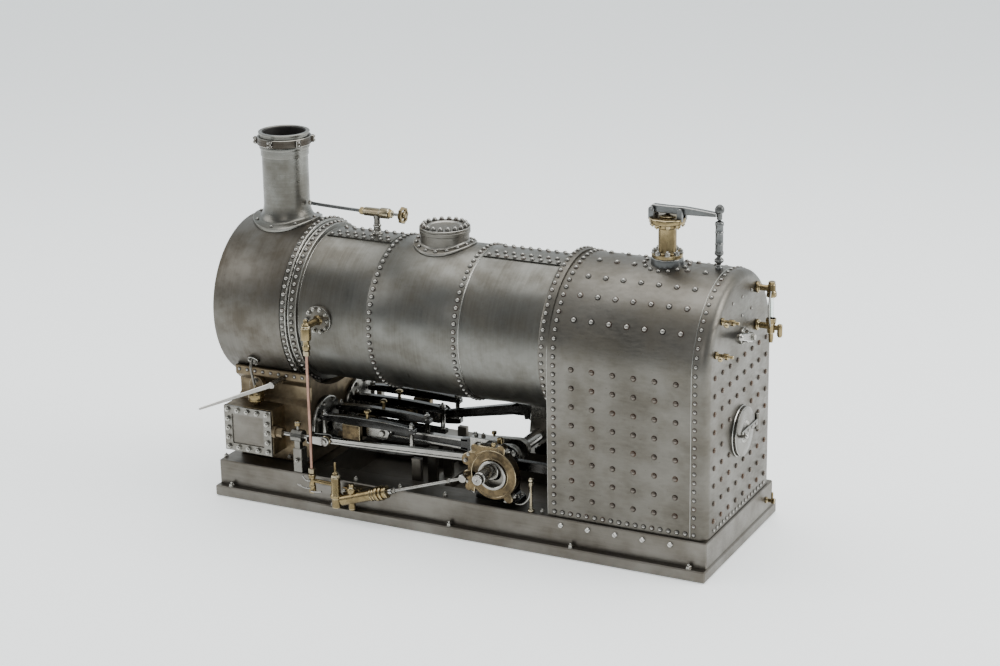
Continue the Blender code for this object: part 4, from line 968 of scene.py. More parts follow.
def make_bearings():
    """Cap studs, cap joint and oil cup on each CAD pedestal."""
    for word in ("near", "far"):
        dress("dark", f"{word}_bearing")
        low, high = span(f"{word}_bearing")
        y = (low.y + high.y) / 2
        feet = [place_at(SHAFT.x + dx, y + dy, 42, "Z") for dx in (-20.6, 20.6) for dy in (-3.4, 3.4)]
        caps = [place_at(SHAFT.x + dx, y, SHAFT.z + 9.5, "Z") for dx in (-13.4, 13.4)]
        line = block((SHAFT.x - 17.2, low.y - 0.1, SHAFT.z - 0.4),
                     (SHAFT.x + 17.2, high.y + 0.1, SHAFT.z + 0.4), 0)
        cup = lathe([(0, 90), (1.6, 90), (1.6, 93.5), (3.3, 94.2), (3.3, 98.6), (2.5, 99.8), (0, 100)], "Z",
                    (SHAFT.x, y, 0), 32)
        bush = collar(6.9, 9, -7.7, 7.7, "Y", (SHAFT.x, y, SHAFT.z), 40, 0.3)
        piece(f"{word}_bearing_fittings", "engine",
              [nutted(feet, 4, 2.8), nutted(caps, 4.6, 3.4), (line, "soot"),
               (cup, "brass"), (bush, "bronze")])


def make_guide_bars():
    """Fish-bellied bars with distance pillars, nuts and a brass oil cup over the middle."""
    for word, side in SIDES:
        for place, offset in (("outer", side * BAR_Y), ("inner", -side * BAR_Y)):
            node_name = f"{word}_{place}_guide_bars"
            low, high = span(node_name)
            left, right = low.x, high.x
            y = side * CYLINDER_Y + offset
            centre, half = (left + right) / 2, (right - left) / 2
            bars = []
            for up in (1, -1):
                flat = SHAFT.z + up * SLIDE_HALF
                belly = [(centre + half * math.cos(math.pi * i / 24),
                          flat + up * (4.4 + 3.9 * math.sin(math.pi * i / 24))) for i in range(25)]
                outline = [(left, flat), (right, flat)] + belly
                bars.append(prism(outline, "Y", y - BAR_HALF, y + BAR_HALF, 0.45))
            pillars, nuts = [], []
            for x in (left + 4, right - 4.5):
                pillars.append(lathe([(0, -13.8), (3, -13.8), (3, -8.4), (2.4, -8), (2.4, 8), (3, 8.4),
                                      (3, 12.4), (0, 12.4)], "Z", (x, y, SHAFT.z), 28))
                nuts.append(place_at(x, y, SHAFT.z + 12.2, "Z"))
            cup_z = SHAFT.z + SLIDE_HALF + 8
            cup = lathe([(0, cup_z), (1.7, cup_z), (1.7, cup_z + 5.6), (3.6, cup_z + 6.4),
                         (3.8, cup_z + 8.4), (2.4, cup_z + 9.6), (0, cup_z + 9.9)], "Z", (centre, y, 0), 32)
            piece(f"{node_name}_bars", "engine",
                  [(merged(*bars), "dark"), (merged(*pillars), "bright"),
                   (scattered(nut(5.4, 4.6), nuts), "bright"), (cup, "brass")], (node_name,))


def make_cylinders():
    """Fastenings and pipe flanges on the CAD casting, and the covers with their nuts."""
    dress("casting", "cylinder_block")
    dress("bed", "motion_bracket")
    low, high = span("cylinder_block")
    flange = [place_at(x, side * 65, 129, "Y", side) for side in (-1, 1)
              for x in np.linspace(low.x + 5, high.x - 5, 9)]
    feet = [place_at(x, side * 63, 42, "Y", side) for side in (-1, 1)
            for x in np.linspace(low.x + 60, high.x - 4, 3)]
    oval = prism(bar((-230, 110), (-230, 116), 8, 8, 12), "Y", -68, -62, 0.5)
    oval_nuts = [place_at(-230, -68, z, "Y", -1) for z in (105.5, 120.5)]
    piece("cylinder_fastenings", "engine",
          [riveted(flange, 1.6), nutted(feet + oval_nuts, 4.2, 3), (oval, "casting")])
    for word, side in SIDES:
        cover_low, cover_high = span(f"{word}_chest_cover")
        x0, x1, z0, z1 = cover_low.x, cover_high.x, cover_low.z, cover_high.z
        inner, outer = side * (VALVE_Y + 3.3), side * (VALVE_Y + 6.2)
        panel_y = sorted((inner, side * (VALVE_Y + 5)))
        panel = block((x0 + 1, panel_y[0], z0 + 1), (x1 - 1, panel_y[1], z1 - 1), 0.2)
        frame_y = sorted((inner, outer))
        corners = [(x0, z0), (x1, z0), (x1, z1), (x0, z1)]
        hollow = [(x0 + 9, z0 + 8), (x1 - 9, z0 + 8), (x1 - 9, z1 - 8), (x0 + 9, z1 - 8)]
        border = ring_plate(corners, hollow, "Y", *frame_y)
        nuts = []
        for x in np.linspace(x0 + 4.6, x1 - 4.6, 5):
            nuts += [place_at(x, outer, z, "Y", side) for z in (z0 + 4, z1 - 4)]
        for z in np.linspace(z0 + 4, z1 - 4, 5)[1:-1]:
            nuts += [place_at(x, outer, z, "Y", side) for x in (x0 + 4.6, x1 - 4.6)]
        piece(f"{word}_chest_lid", "engine",
              [(panel, "bed"), (border, "steel"), nutted(nuts, 4.9, 2.4)],
              (f"{word}_chest_cover",), 25)

        at = (0, side * CYLINDER_Y, SHAFT.z)
        front = span(f"{word}_front_cylinder_cover")[1].x
        rear = span(f"{word}_rear_cylinder_cover")[0].x
        face = lathe([(0, front - 4.6), (13, front - 4.6), (15, front - 6), (17, front - 4.6),
                      (26, front - 4.2), (27, front - 3.4), (27, front), (0, front)], "X", at, 72)
        front_nuts = ring_of(8, 22, (front - 4.2, at[1], at[2]), "X", -1, 22)
        piece(f"{word}_front_lid", "engine",
              [(face, "steel"), nutted(front_nuts, 4.2, 2.8)], (f"{word}_front_cylinder_cover",))
        back = lathe([(3.8, rear), (27, rear), (27, rear + 3.2), (26, rear + 4), (9, rear + 4.2),
                      (8.4, rear + 4.9), (7, rear + 5.3), (3.8, rear + 5.3)], "X", at, 72, 0.3, True)
        rear_nuts = ring_of(8, 23, (rear + 4, at[1], at[2]), "X", 1, 22.5)
        piece(f"{word}_rear_lid", "engine",
              [(back, "steel"), nutted(rear_nuts, 4, 2.4)], (f"{word}_rear_cylinder_cover",))


# ------------------------------------------------------------ moving engine
def make_crankshaft():
    """Built-up crankshaft with round-ended webs, journals and a centre hole in each end."""
    x, z = SHAFT.x, SHAFT.z
    shafts = [disc(6.5, -22, 22, "Y", (x, 0, z), 40)]
    webs, pins, marks = [], [], []
    for side in (NEAR, FAR):
        pin = ROD_PIN[side]
        y = side * CYLINDER_Y
        for low, high in ((-13.5, -6.5), (6.5, 13.5)):
            webs.append(prism(bar((x, z), (pin.x, pin.z), 10.5, 8.5, 20), "Y", y + low, y + high, 0.6))
        pins.append(rod((pin.x, y - 8, pin.z), (pin.x, y + 8, pin.z), 5, 32))
        for face in (-13.6, 13.6):
            marks.append(disc(3, -0.3, 0.3, "Y", (pin.x, y + face, pin.z), 24, 0.1))
        ends = [(0, 41), (6.5, 41), (6.5, 93), (6.1, 94), (6.1, 111), (5.2, 111.6), (5.2, 116.4),
                (4.6, 117), (1.3, 117), (0, 115)]
        shafts.append(lathe([(r, side * d) for r, d in ends], "Y", (x, 0, z), 40))
    piece("crankshaft_turned", "crankshaft",
          [(merged(*shafts, *pins), "bright"), (merged(*webs), "steel"), (merged(*marks), "bright")],
          ("crankshaft",))


def make_eccentrics():
    """Sheaves with a bright rim, a sunk web and a hub with a grub screw."""
    for word, side in SIDES:
        x, z = SHEAVE[side].x, SHEAVE[side].z
        rim = collar(12.1, SHEAVE_R, side * 77.5, side * 91, "Y", (x, 0, z), 64, 0.3)
        web = collar(6.8, 12.3, side * 77.5, side * 84, "Y", (x, 0, z), 64, 0)
        hub = collar(6.8, 9.2, side * 78, side * 90.6, "Y", (SHAFT.x, 0, SHAFT.z), 48, 0.4)
        screw = [place_at(SHAFT.x - 9, side * 87.5, SHAFT.z, "X", -1)]
        piece(f"{word}_sheave", "crankshaft",
              [(rim, "bright"), (merged(web, hub), "steel"), (scattered(slotted(1.6, 1.0), screw), "nut")],
              (f"{word}_eccentric",))


def make_connecting_rods():
    """Fluted rods with a strapped big end, brasses, bolts and a round small end."""
    for word, side in SIDES:
        pin = ROD_PIN[side]
        y = side * CYLINDER_Y
        reach = pin.x - span(f"{word}_connecting_rod")[0].x - 7
        length = math.hypot(reach, pin.z - SHAFT.z)
        small = -length
        web = prism([(-24, -5), (-24, 5), (-30, 4.8), (small + 4, 3.6), (small + 4, -3.6), (-30, -4.8)],
                    "Y", y - 2.2, y + 2.2, 0)
        edges = [prism([(-26, up * 6), (-30, up * 5.4), (small + 4, up * 4), (small + 4, up * 2.3),
                        (-30, up * 3.1), (-26, up * 3.2)], "Y", y - 3.4, y + 3.4, 0.3)
                 for up in (1, -1)]
        root = prism([(-34, -5.6), (-20, -8), (-20, 8), (-34, 5.6)], "Y", y - 3.4, y + 3.4, 0.4)
        loop = [(-22, -10.5), (9, -10.5)] + arc((2, 0), 11.5, -55, 55, 14) + [(9, 10.5), (-22, 10.5)]
        strap = prism(loop, "Y", y - 6.1, y + 6.1, 0.7)
        brasses = collar(5.2, 7.8, -6.5, 6.5, "Y", (0, y, 0), 40, 0.3)
        eye = collar(3.4, 7, -4.9, 4.9, "Y", (small, y, 0), 40, 0.5)
        small_pin = rod((small, y - 5.3, 0), (small, y + 5.3, 0), 3.4, 28)
        bolts = [place_at(bx, y, up * 10.4, "Z", up) for bx in (-18, -10) for up in (1, -1)]
        lean = math.asin((pin.z - SHAFT.z) / length)
        swing = Matrix.Translation((pin.x, 0, pin.z)) @ Matrix.Rotation(-lean, 4, "Y")
        cup = lathe([(0, 12.6), (1.4, 12.6), (1.4, 14.4), (2.6, 15), (2.6, 17.6), (0, 18)], "Z",
                    (2, y, 0), 24)
        # The far rod's edges take the dark oiled steel as painted shade; the near rod's take the polished
        # steel.
        edge_metal_far_shaded = "bright" if side == NEAR else "dark"
        parts = [(merged(web, root), "dark"), (merged(*edges, strap, eye), edge_metal_far_shaded), (brasses, "bronze"),
                 (small_pin, "bright"), nutted(bolts, 3.6, 2.6), (cup, "brass")]
        piece(f"{word}_rod_fluted", f"{word}_rod", [(s.at(swing), m) for s, m in parts],
              (f"{word}_connecting_rod",))


def make_crossheads():
    """Long forks between two slippers, and the piston with its rings and rod."""
    for word, side in SIDES:
        low, high = span(f"{word}_crosshead")
        x, y, z = high.x - 7.5, side * CYLINDER_Y, SHAFT.z
        back = x - 30
        parts = [block((low.x, y - 9, z - 6), (low.x + 7, y + 9, z + 6), 0.6)]
        for hand in (-1, 1):
            cheek = sorted((y + hand * 5.7, y + hand * 9))
            parts.append(prism(bar((low.x + 4.5, z), (x, z), 4.5, 7.5, 14), "Y", *cheek, 0.5))
            boss = sorted((y + hand * 8, y + hand * 15))
            parts.append(disc(4.5, boss[0], boss[1], "Y", (back, 0, z), 32))
        slippers = []
        for hand in (-1, 1):
            ys = sorted((y + hand * (BAR_Y - BAR_HALF), y + hand * (BAR_Y + BAR_HALF)))
            slippers.append(block((back - 10, ys[0], z - SLIDE_HALF + 0.6),
                                  (back + 10, ys[1], z + SLIDE_HALF - 0.6), 0.5))
        nuts = [place_at(x, y + hand * 9, z, "Y", hand) for hand in (-1, 1)]
        piece(f"{word}_crosshead_fork", f"{word}_crosshead",
              [(merged(*parts), "bright"), (merged(*slippers), "bronze"), nutted(nuts, 5.6, 2.2, False)],
              (f"{word}_crosshead",))
        p_low, p_high = span(f"{word}_piston")
        head = p_low.x + 6
        radius = BORE_R - 0.6
        profile = [(0, head - 6), (radius, head - 6)]
        for groove in (-3.4, 0.6):
            profile += [(radius, head + groove), (radius - 0.7, head + groove),
                        (radius - 0.7, head + groove + 1.4), (radius, head + groove + 1.4)]
        profile += [(radius, head + 6), (3.5, head + 6), (3.5, p_high.x), (0, p_high.x)]
        piece(f"{word}_piston_ringed", f"{word}_crosshead",
              [(lathe(profile, "X", (0, y, z), 56, 0.2), "bright")], (f"{word}_piston",))


def make_straps():
    """Bronze straps in two halves, bolted at the lugs, with a fluted rod to the knuckle."""
    for word, side in SIDES:
        x, z = SHEAVE[side].x, SHEAVE[side].z
        y = side * VALVE_Y
        ring = collar(15.1, 24.5, -5, 5, "Y", (x, y, z), 72, 0.6)
        ribs = lathe([(22.2, -5.6), (24.9, -5.2), (24.9, 5.2), (22.2, 5.6)], "Y", (x, y, z), 72, 0.4, True)
        lip = collar(15.1, 16.6, -5.5, 5.5, "Y", (x, y, z), 72, 0.3)
        flats = [prism(outline, "Y", y - 4.6, y + 4.6, 0.6) for outline in
                 ([(x - 27, z - 19), (x - 20, z - 21), (x - 18, z + 21), (x - 27, z + 19)],
                  [(x - 20, z + 17), (x + 9, z + 19), (x + 6, z + 28), (x - 15, z + 28)])]
        lugs, bolts = [], [place_at(x - 27, y, z + rise, "X", -1) for rise in (-15, -7.5, 7.5, 15)]
        for angle, reach in ((128, 31), (212, 31), (305, 28), (72, 28)):
            root, tip = polar((x, z), 21, angle), polar((x, z), reach, angle)
            lugs.append(prism(bar(root, tip, 5.6, 4.2, 10), "Y", y - 4, y + 4, 0.5))
            way = Vector((-math.sin(math.radians(angle)), 0, math.cos(math.radians(angle))))
            seat = Vector((tip[0], y, tip[1]))
            bolts += [(seat + way * 4.1, way), (seat - way * 4.1, -way)]
        start, end = polar((x, z), 27, 152), (KNUCKLE_X, VALVE_Z)
        blade = prism(bar(start, end, 3.4, 2.3, 10), "Y", y - 1.1, y + 1.1, 0.2)
        run = Vector((end[0] - start[0], end[1] - start[1]))
        along = run.normalized()
        normal = Vector((-along.y, along.x))
        rails = []
        for up in (1, -1):
            a, b = Vector(start) + normal * up * 2.7, Vector(end) + normal * up * 1.8 - along * 6
            rails.append(prism(bar(a, b, 0.9, 0.7, 6), "Y", y - 2.3, y + 2.3, 0.2))
        outline = bar(polar((x, z), 24, 140), polar((x, z), 30, 158), 7, 6.2, 10)
        foot = prism(outline, "Y", y - 3.5, y + 3.5, 0.5)
        knuckle = disc(5, -3, 3, "Y", (KNUCKLE_X, y, VALVE_Z), 40, 0.5)
        foot_bolts = []
        for angle in (146, 160):
            bolt_x, bolt_z = polar((x, z), 31, angle)
            foot_bolts.append(place_at(bolt_x, y + side * 3.5, bolt_z, "Y", side))
        cup = lathe([(0, 24), (1.5, 24), (1.5, 26), (3, 26.8), (3, 30.5), (2.2, 31.6), (0, 31.8)], "Z",
                    (x, y, z), 28)
        parts = [(merged(ring, ribs, lip, *flats, *lugs, foot), "bronze"),
                 (merged(blade, *rails), "bright"), (knuckle, "bronze"), nutted(bolts, 4.2, 2.8),
                 nutted(foot_bolts, 3.4, 2.2), (cup, "brass")]
        if side == NEAR:
            lug = polar((x, z), 27.5, 188)
            arm = prism(bar(polar((x, z), 22, 190), lug, 5.5, 4.5, 10), "Y", y - 5, y + 5, 0.5)
            pin = rod((lug[0], -97, lug[1]), (lug[0], y - 4, lug[1]), 2.4, 24)
            parts += [(arm, "bronze"), (pin, "bright")]
        piece(f"{word}_strap_halves", f"{word}_strap", parts, (f"{word}_eccentric_strap",))


def make_valve_gear():
    """Clevis, stem and slide valve in one, with the CAD guide brackets given their oil cups."""
    for word, side in SIDES:
        y = side * VALVE_Y
        bridge = KNUCKLE_X - 20
        parts = [block((bridge, y - 6, VALVE_Z - 4.5), (bridge + 4, y + 6, VALVE_Z + 4.5), 0.5),
                 rod((-243.5, y, VALVE_Z), (bridge + 1, y, VALVE_Z), 2.4, 28)]
        caps = []
        for hand in (-1, 1):
            cheek = sorted((y + hand * 3.6, y + hand * 6))
            outline = bar((bridge + 3, VALVE_Z), (KNUCKLE_X, VALVE_Z), 3.6, 4.8, 12)
            parts.append(prism(outline, "Y", *cheek, 0.4))
            caps.append(place_at(KNUCKLE_X, y + hand * 5.9, VALVE_Z, "Y", hand))
        low, high = sorted((side * 69.8, side * (VALVE_Y + 2)))
        parts.append(block((-240, low, VALVE_Z - 10), (-219, high, VALVE_Z + 10), 0.4))
        piece(f"{word}_valve_spindle", f"{word}_valve",
              [(merged(*parts), "bright"), nutted(caps, 5, 1.5, False, False)],
              (f"{word}_valve_rod",))
        dress("steel", f"{word}_valve_guide")
        cup = lathe([(0, 85.6), (3.4, 85.6), (3.4, 88.8), (2.4, 90.4), (0, 90.8)], "Z", (-173, y, 0), 28)
        bolts = [place_at(-173, side * 87, 50, "Y", side)]
        piece(f"{word}_guide_cup", "engine", [(cup, "brass"), nutted(bolts, 4, 2.6)])


def on_pump(distance):
    """A point on the pump's axis, measured back from the crank axis towards the pump."""
    tilt = math.radians(PUMP_TILT)
    return Vector((SHAFT.x - distance * math.cos(tilt), PUMP_Y, SHAFT.z - distance * math.sin(tilt)))


def sleeve(near_end, far_end, outer, inner=3.3):
    """A hollow ring along the pump's axis."""
    run = on_pump(far_end) - on_pump(near_end)
    return collar(inner, outer, 0, run.length, "Z", on_pump(near_end), 40, 0.4, aim=heading(run))


def make_pump():
    """Feed pump with its valve chambers, cock levers and drive rod."""
    chamber_x, second_x = -122, -104
    barrel = [sleeve(116, 168, 5.6), sleeve(113, 117, 6.2), sleeve(118.5, 121, 7.4),
              sleeve(123, 125.5, 7.4), sleeve(128, 129.4, 6.4), sleeve(131, 132.4, 6.4)]
    plug = rod(on_pump(166), on_pump(168), 5.2, 32)
    chamber = lathe([(0, 12), (4.2, 12), (4.8, 13), (4.8, 22), (6, 23), (6, 26), (4.8, 27), (4.8, 44),
                     (3, 46), (3, 49), (1.2, 50), (1.2, 60), (0, 60)], "Z", (chamber_x, PUMP_Y, 0), 40)
    second = lathe([(0, 12), (2.2, 12), (3.6, 14), (3.6, 30), (4.6, 31), (4.6, 35), (3, 36), (3, 40),
                    (0, 40)], "Z", (second_x, PUMP_Y, 0), 36)
    route = [(chamber_x, PUMP_Y, 36), (-135, PUMP_Y - 0.7, 36.8), (DELIVERY_X, DELIVERY_Y, 37.5)]
    link = tube(route, 2.1)
    elbow = lathe([(0, 24), (2.6, 24), (3.6, 25), (3.6, 32), (3, 33), (3, 40), (3.8, 40.5), (3.8, 44),
                   (0, 44)], "Z", (DELIVERY_X, DELIVERY_Y, 0), 36)
    low, high = -95.5, -88.3
    bracket = block((-117, low, 20), (-98, high, 33), 0.6)
    bolts = [place_at(-115, low, z, "Y", -1) for z in (22.6, 30.4)]
    chamber_top = [place_at(chamber_x, PUMP_Y, 44, "Z")]
    second_top = [place_at(second_x, PUMP_Y, 35, "Z")]
    x, levers = DELIVERY_X, []
    for z, dx, rise in ((38, -8, 5), (30, -14, 3), (27, 13, 2)):
        route = [(x, PUMP_Y - 5, z), (x + dx * 0.5, PUMP_Y - 6, z + 0.4), (x + dx, PUMP_Y - 6.5, z + rise)]
        levers.append(tube(route, 0.9))
    piece("feed_pump_body", "engine",
          [(merged(*barrel, plug, chamber, second, elbow, bracket), "brass"), (link, "brass"),
           (merged(*levers), "bright"), (scattered(nut(8, 3, False), chamber_top), "pale_brass"),
           (scattered(nut(6, 2.4, False), second_top), "pale_brass"), nutted(bolts, 3.4, 2)],
          ("feed_pump",))
    tip = on_pump(25.5)
    drive = rod(tip, on_pump(112), 1.6, 24)
    eye = disc(4, -2, 2, "Y", (tip.x, PUMP_Y, tip.z), 32, 0.4)
    locknut = merged(rod(on_pump(104), on_pump(107), 2.8, 6), rod(on_pump(40), on_pump(43), 2.6, 6))
    piece("pump_plunger", "pump_ram",
          [(merged(drive, rod(on_pump(108), on_pump(144), 3, 28), eye), "bright"), (locknut, "nut")],
          ("pump_ram",))


def make_delivery():
    """Copper pipe from the pump to the clack valve, with its round flange studded to the barrel."""
    x, y, port = DELIVERY_X, DELIVERY_Y, 197.3
    top = span("delivery_pipe")[1].z
    pipe = tube([(x, y, 44.3), (x, y + 0.3, 90), (x, y - 0.3, 135), (x, y, top)], 1.6, 18)
    unions = [disc(3.4, z, z + 5, "Z", (x, y, 0), 6, 0.3) for z in (45, top - 5)]
    piece("delivery_line", "engine", [(pipe, "copper"), (merged(*unions), "pale_brass")],
          ("delivery_pipe",))
    low = top + 0.3
    body = lathe([(0, low), (2.4, low), (4, low + 1), (4, 178), (3.2, 179), (3.2, 183), (5.2, 184),
                  (5.2, 196), (4, 197.5), (4, 200), (2.2, 201), (2.2, 204), (1.4, 205), (0, 205)], "Z",
                 (x, y, 0), 36)
    neck = lathe([(0, y), (3.6, y), (3.6, -80), (5.4, -78), (0, -78)], "Y", (x, 0, port), 36)
    flange = disc(14, -78.2, -72.4, "Y", (x, 0, port), 56, 0.2)
    studs = ring_of(10, 11.6, (x, -78.2, port), "Y", -1)
    hexes = [place_at(x, y, 196, "Z")]
    piece("clack_body", "engine",
          [(merged(body, neck), "brass"), (flange, "plate"), nutted(studs, 3.8, 2.8),
           (scattered(nut(8, 2.4, False), hexes), "pale_brass")], ("clack_valve",))


# ------------------------------------------------------------ boiler fittings
def make_blower():
    """Blower valve on a turned pillar, its lobed wheel, and the pipe to the chimney."""
    z = BLOWER_Z
    x = -122
    foot = BOILER_Z + BARREL_R
    pillar = lathe([(0, foot - 4), (5.8, foot - 4), (5.8, foot + 2.8), (4.2, foot + 4), (3.4, foot + 8),
                    (4.4, foot + 9.5), (3.2, foot + 11), (3, foot + 16), (3.8, foot + 19), (3.8, z),
                    (0, z)], "Z", (x, 0, 0), 40)
    body = lathe([(0, -141), (2.2, -141), (3.4, -140), (3.4, -136), (4.4, -135.4), (4.4, -118), (5.4, -117),
                  (5.4, -108), (3.4, -107), (3.4, -104), (1.8, -104), (0, -104)], "X", (0, 0, z), 40)
    hexes = [rod((-140.5, 0, z), (-136.5, 0, z), 4, 6), rod((-107.4, 0, z), (-104.6, 0, z), 4.2, 6)]
    feet = [on_boiler(x + dx, dy, BARREL_R) for dx, dy in ((-4.2, 0), (4.2, 0))]
    piece("blower_body", "engine",
          [(body, "pale_brass"), (pillar, "steel"), (merged(*hexes), "brass"),
           (scattered(rivet(1.0), feet), "nut")], ("blower_valve",))
    lobes, inner = [], []
    for i in range(48):
        a = 2 * math.pi * i / 48
        r = 8.1 + 0.5 * math.cos(8 * a)
        lobes.append((r * math.cos(a), z + r * math.sin(a)))
        inner.append((6 * math.cos(a), z + 6 * math.sin(a)))
    rim = ring_plate(lobes, inner, "X", -94, -91)
    spokes = [prism(bar((0, z), polar((0, z), 7, 90 * i + 45), 1.4, 0.9, 5), "X", -93.4, -91.6, 0.2)
              for i in range(4)]
    hub = lathe([(0, -95), (3.2, -95), (3.2, -90), (2.2, -89.5), (0, -89.5)], "X", (0, 0, z), 32)
    stem = rod((-120, 0, z), (-92, 0, z), 1.5, 24)
    piece("blower_handwheel", "blower_wheel",
          [(merged(rim, hub, *spokes), "brass"), (stem, "bright")], ("blower_wheel",))
    end = CHIMNEY.x + 25.6
    route = [(-141.3, 0, z), (-160, 0, z + 0.4), (-185, 0, z + 1.2), (end, 0, z + 2)]
    union = rod((end, 0, z + 2), (CHIMNEY.x + 29, 0, z + 1.9), 2.4, 6)
    piece("blower_line", "engine", [(tube(route, 1.7, 18), "lever"), (union, "nut")],
          ("blower_pipe",))


def make_safety_valve():
    """Safety valve column and plug, with the lever and the spring balance that holds it down."""
    x = SAFETY_X
    column = lathe([(4.5, 280.3), (14.8, 280.3), (14.8, 283.6), (9.6, 284.6), (8.7, 287), (8.7, 308),
                    (11, 309), (11, 312.6), (16.8, 313.4), (17.4, 314), (17.4, 318), (16.8, 318.6),
                    (4.5, 318.6)], "Z", (x, 0, 0), 64, 0.3, True)
    lugs = []
    for left in (x - 17.2, x + 11.4):
        for hand in (-1, 1):
            low, high = sorted((hand * 3.4, hand * 6.4))
            outline = [(left, 316), (left + 5.8, 316), (left + 5.8, 325)]
            outline += arc((left + 2.9, 325.5), 2.9, 0, 180, 8)
            lugs.append(prism(outline, "Y", low, high, 0.4))
    pin = rod((x - 13.5, -7, 325.5), (x - 13.5, 7, 325.5), 1.3, 20)
    lower = ring_of(8, 12.2, (x, 0, 283.5), "Z", 1, 22)
    under = ring_of(8, 14, (x, 0, 313.4), "Z", -1, 22)
    piece("safety_column", "engine",
          [(column, "brass"), (merged(*lugs, pin), "lever"), nutted(lower, 4.6, 3.4),
           (scattered(nut(4.4, 3), under), "brass")], ("safety_valve_body",))
    cap = lathe([(0, 300), (3.6, 300), (3.6, 318.9), (8, 318.9), (8, 320), (3, 320.8), (1, 322), (0, 322)],
                "Z", (x, 0, 0), 40)
    piece("safety_plug_turned", "safety_plug", [(cap, "brass")], ("safety_valve_plug",))
    tip = BALANCE_X
    outline = [(171.8, 323.6), (175, 322.4), (204, 322.4), (222, 322.9), (tip - 2, 323.7)]
    outline += [(tip - 2, 327.2), (222, 328.8), (206, 329.9), (192, 329.6)]
    lever = prism(outline + arc((176.4, 325.2), 4.6, 80, 180, 10), "Y", -3, 3, 0.6)
    finial = lathe([(0, 313), (1.5, 313), (1.5, 320.6), (2.6, 321.4), (2.6, 327), (4, 328), (4.4, 329.4),
                    (4.4, 331.6), (3.4, 333.6), (1.8, 335), (0, 335.6)], "Z", (tip, 0, 0), 36, 0.2)
    piece("safety_lever_arm", "safety_lever", [(lever, "lever"), (finial, "lever")],
          ("safety_lever",))
    case = lathe([(2.6, 292), (3.7, 291), (3.7, 297), (4, 297.4), (4, 298.6), (3.7, 299), (3.7, 308),
                  (4, 308.4), (4, 309.6), (3.7, 310), (3.7, 315), (4.2, 316), (4.2, 318.4), (3, 319.4),
                  (2.6, 319.4)], "Z", (BALANCE_X, 0, 0), 36, 0.15, True)
    foot = lathe([(0, 273), (3.6, 273), (3.6, 276), (2, 277.4), (2, 279), (4.4, 281), (4.4, 283),
                  (2, 285.4), (1.8, 286), (3, 287), (4.2, 288), (4.2, 290), (3.6, 291.4), (0, 291.4)], "Z",
                 (BALANCE_X, 0, 0), 36, 0.2)
    piece("balance_case", "engine", [(case, "lever"), (foot, "lever")], ("spring_balance",))


def make_water_gauge():
    """Water gauge: top and bottom cocks, the glass between them and the link that joins their levers."""
    x, y, low, high = 279, 38, 212, 249
    at = (x, y, 0)
    wall = BACKHEAD_FACE + 0.3
    arm = [(0, wall), (5.4, wall), (5.4, wall + 2.4), (3, wall + 3), (3, x), (0, x)]
    top = merged(lathe(arm, "X", (0, y, high), 36),
                 lathe([(2.6, high - 8), (4.6, high - 8), (4.6, high - 3), (3.8, high - 2), (3.8, high + 4),
                        (2, high + 6), (0, high + 6)], "Z", at, 36),
                 rod((x, y, high - 8), (x, y, high - 4.4), 5, 6),
                 rod((x, y, high + 4), (x, y, high + 7), 3.4, 6))
    piece("gauge_upper", "engine", [(top, "brass")], ("gauge_top_cock",))
    bottom = merged(lathe(arm, "X", (0, y, low), 36),
                    lathe([(0, low - 16), (1.8, low - 16), (2.4, low - 12), (2.4, low - 7), (3.8, low - 6),
                           (3.8, low + 2), (4.6, low + 3), (4.6, low + 8), (2.6, low + 8)], "Z", at, 36),
                    rod((x, y, low + 4.4), (x, y, low + 8), 5, 6),
                    rod((x, y, low - 1), (x + 10, y, low - 1), 2.4, 28),
                    lathe([(0, low - 10), (1.6, low - 10), (2.6, low - 8), (2.6, low + 2), (1.6, low + 3),
                           (0, low + 3)], "Z", (x + 8.7, y, 0), 28))
    link = tube([(x + 1, y - 5, low + 1), (x - 0.5, y - 6, 230), (x + 1, y - 5, high - 1)], 0.9)
    piece("gauge_lower", "engine", [(bottom, "brass"), (link, "bright")], ("gauge_bottom_cock",))
    glass_low, glass_high = span("gauge_glass")
    glass = collar(1.4, 2.2, glass_low.z, glass_high.z, "Z", at, 32, 0.1)
    piece("gauge_tube", "engine", [(glass, "glass")], ("gauge_glass",))


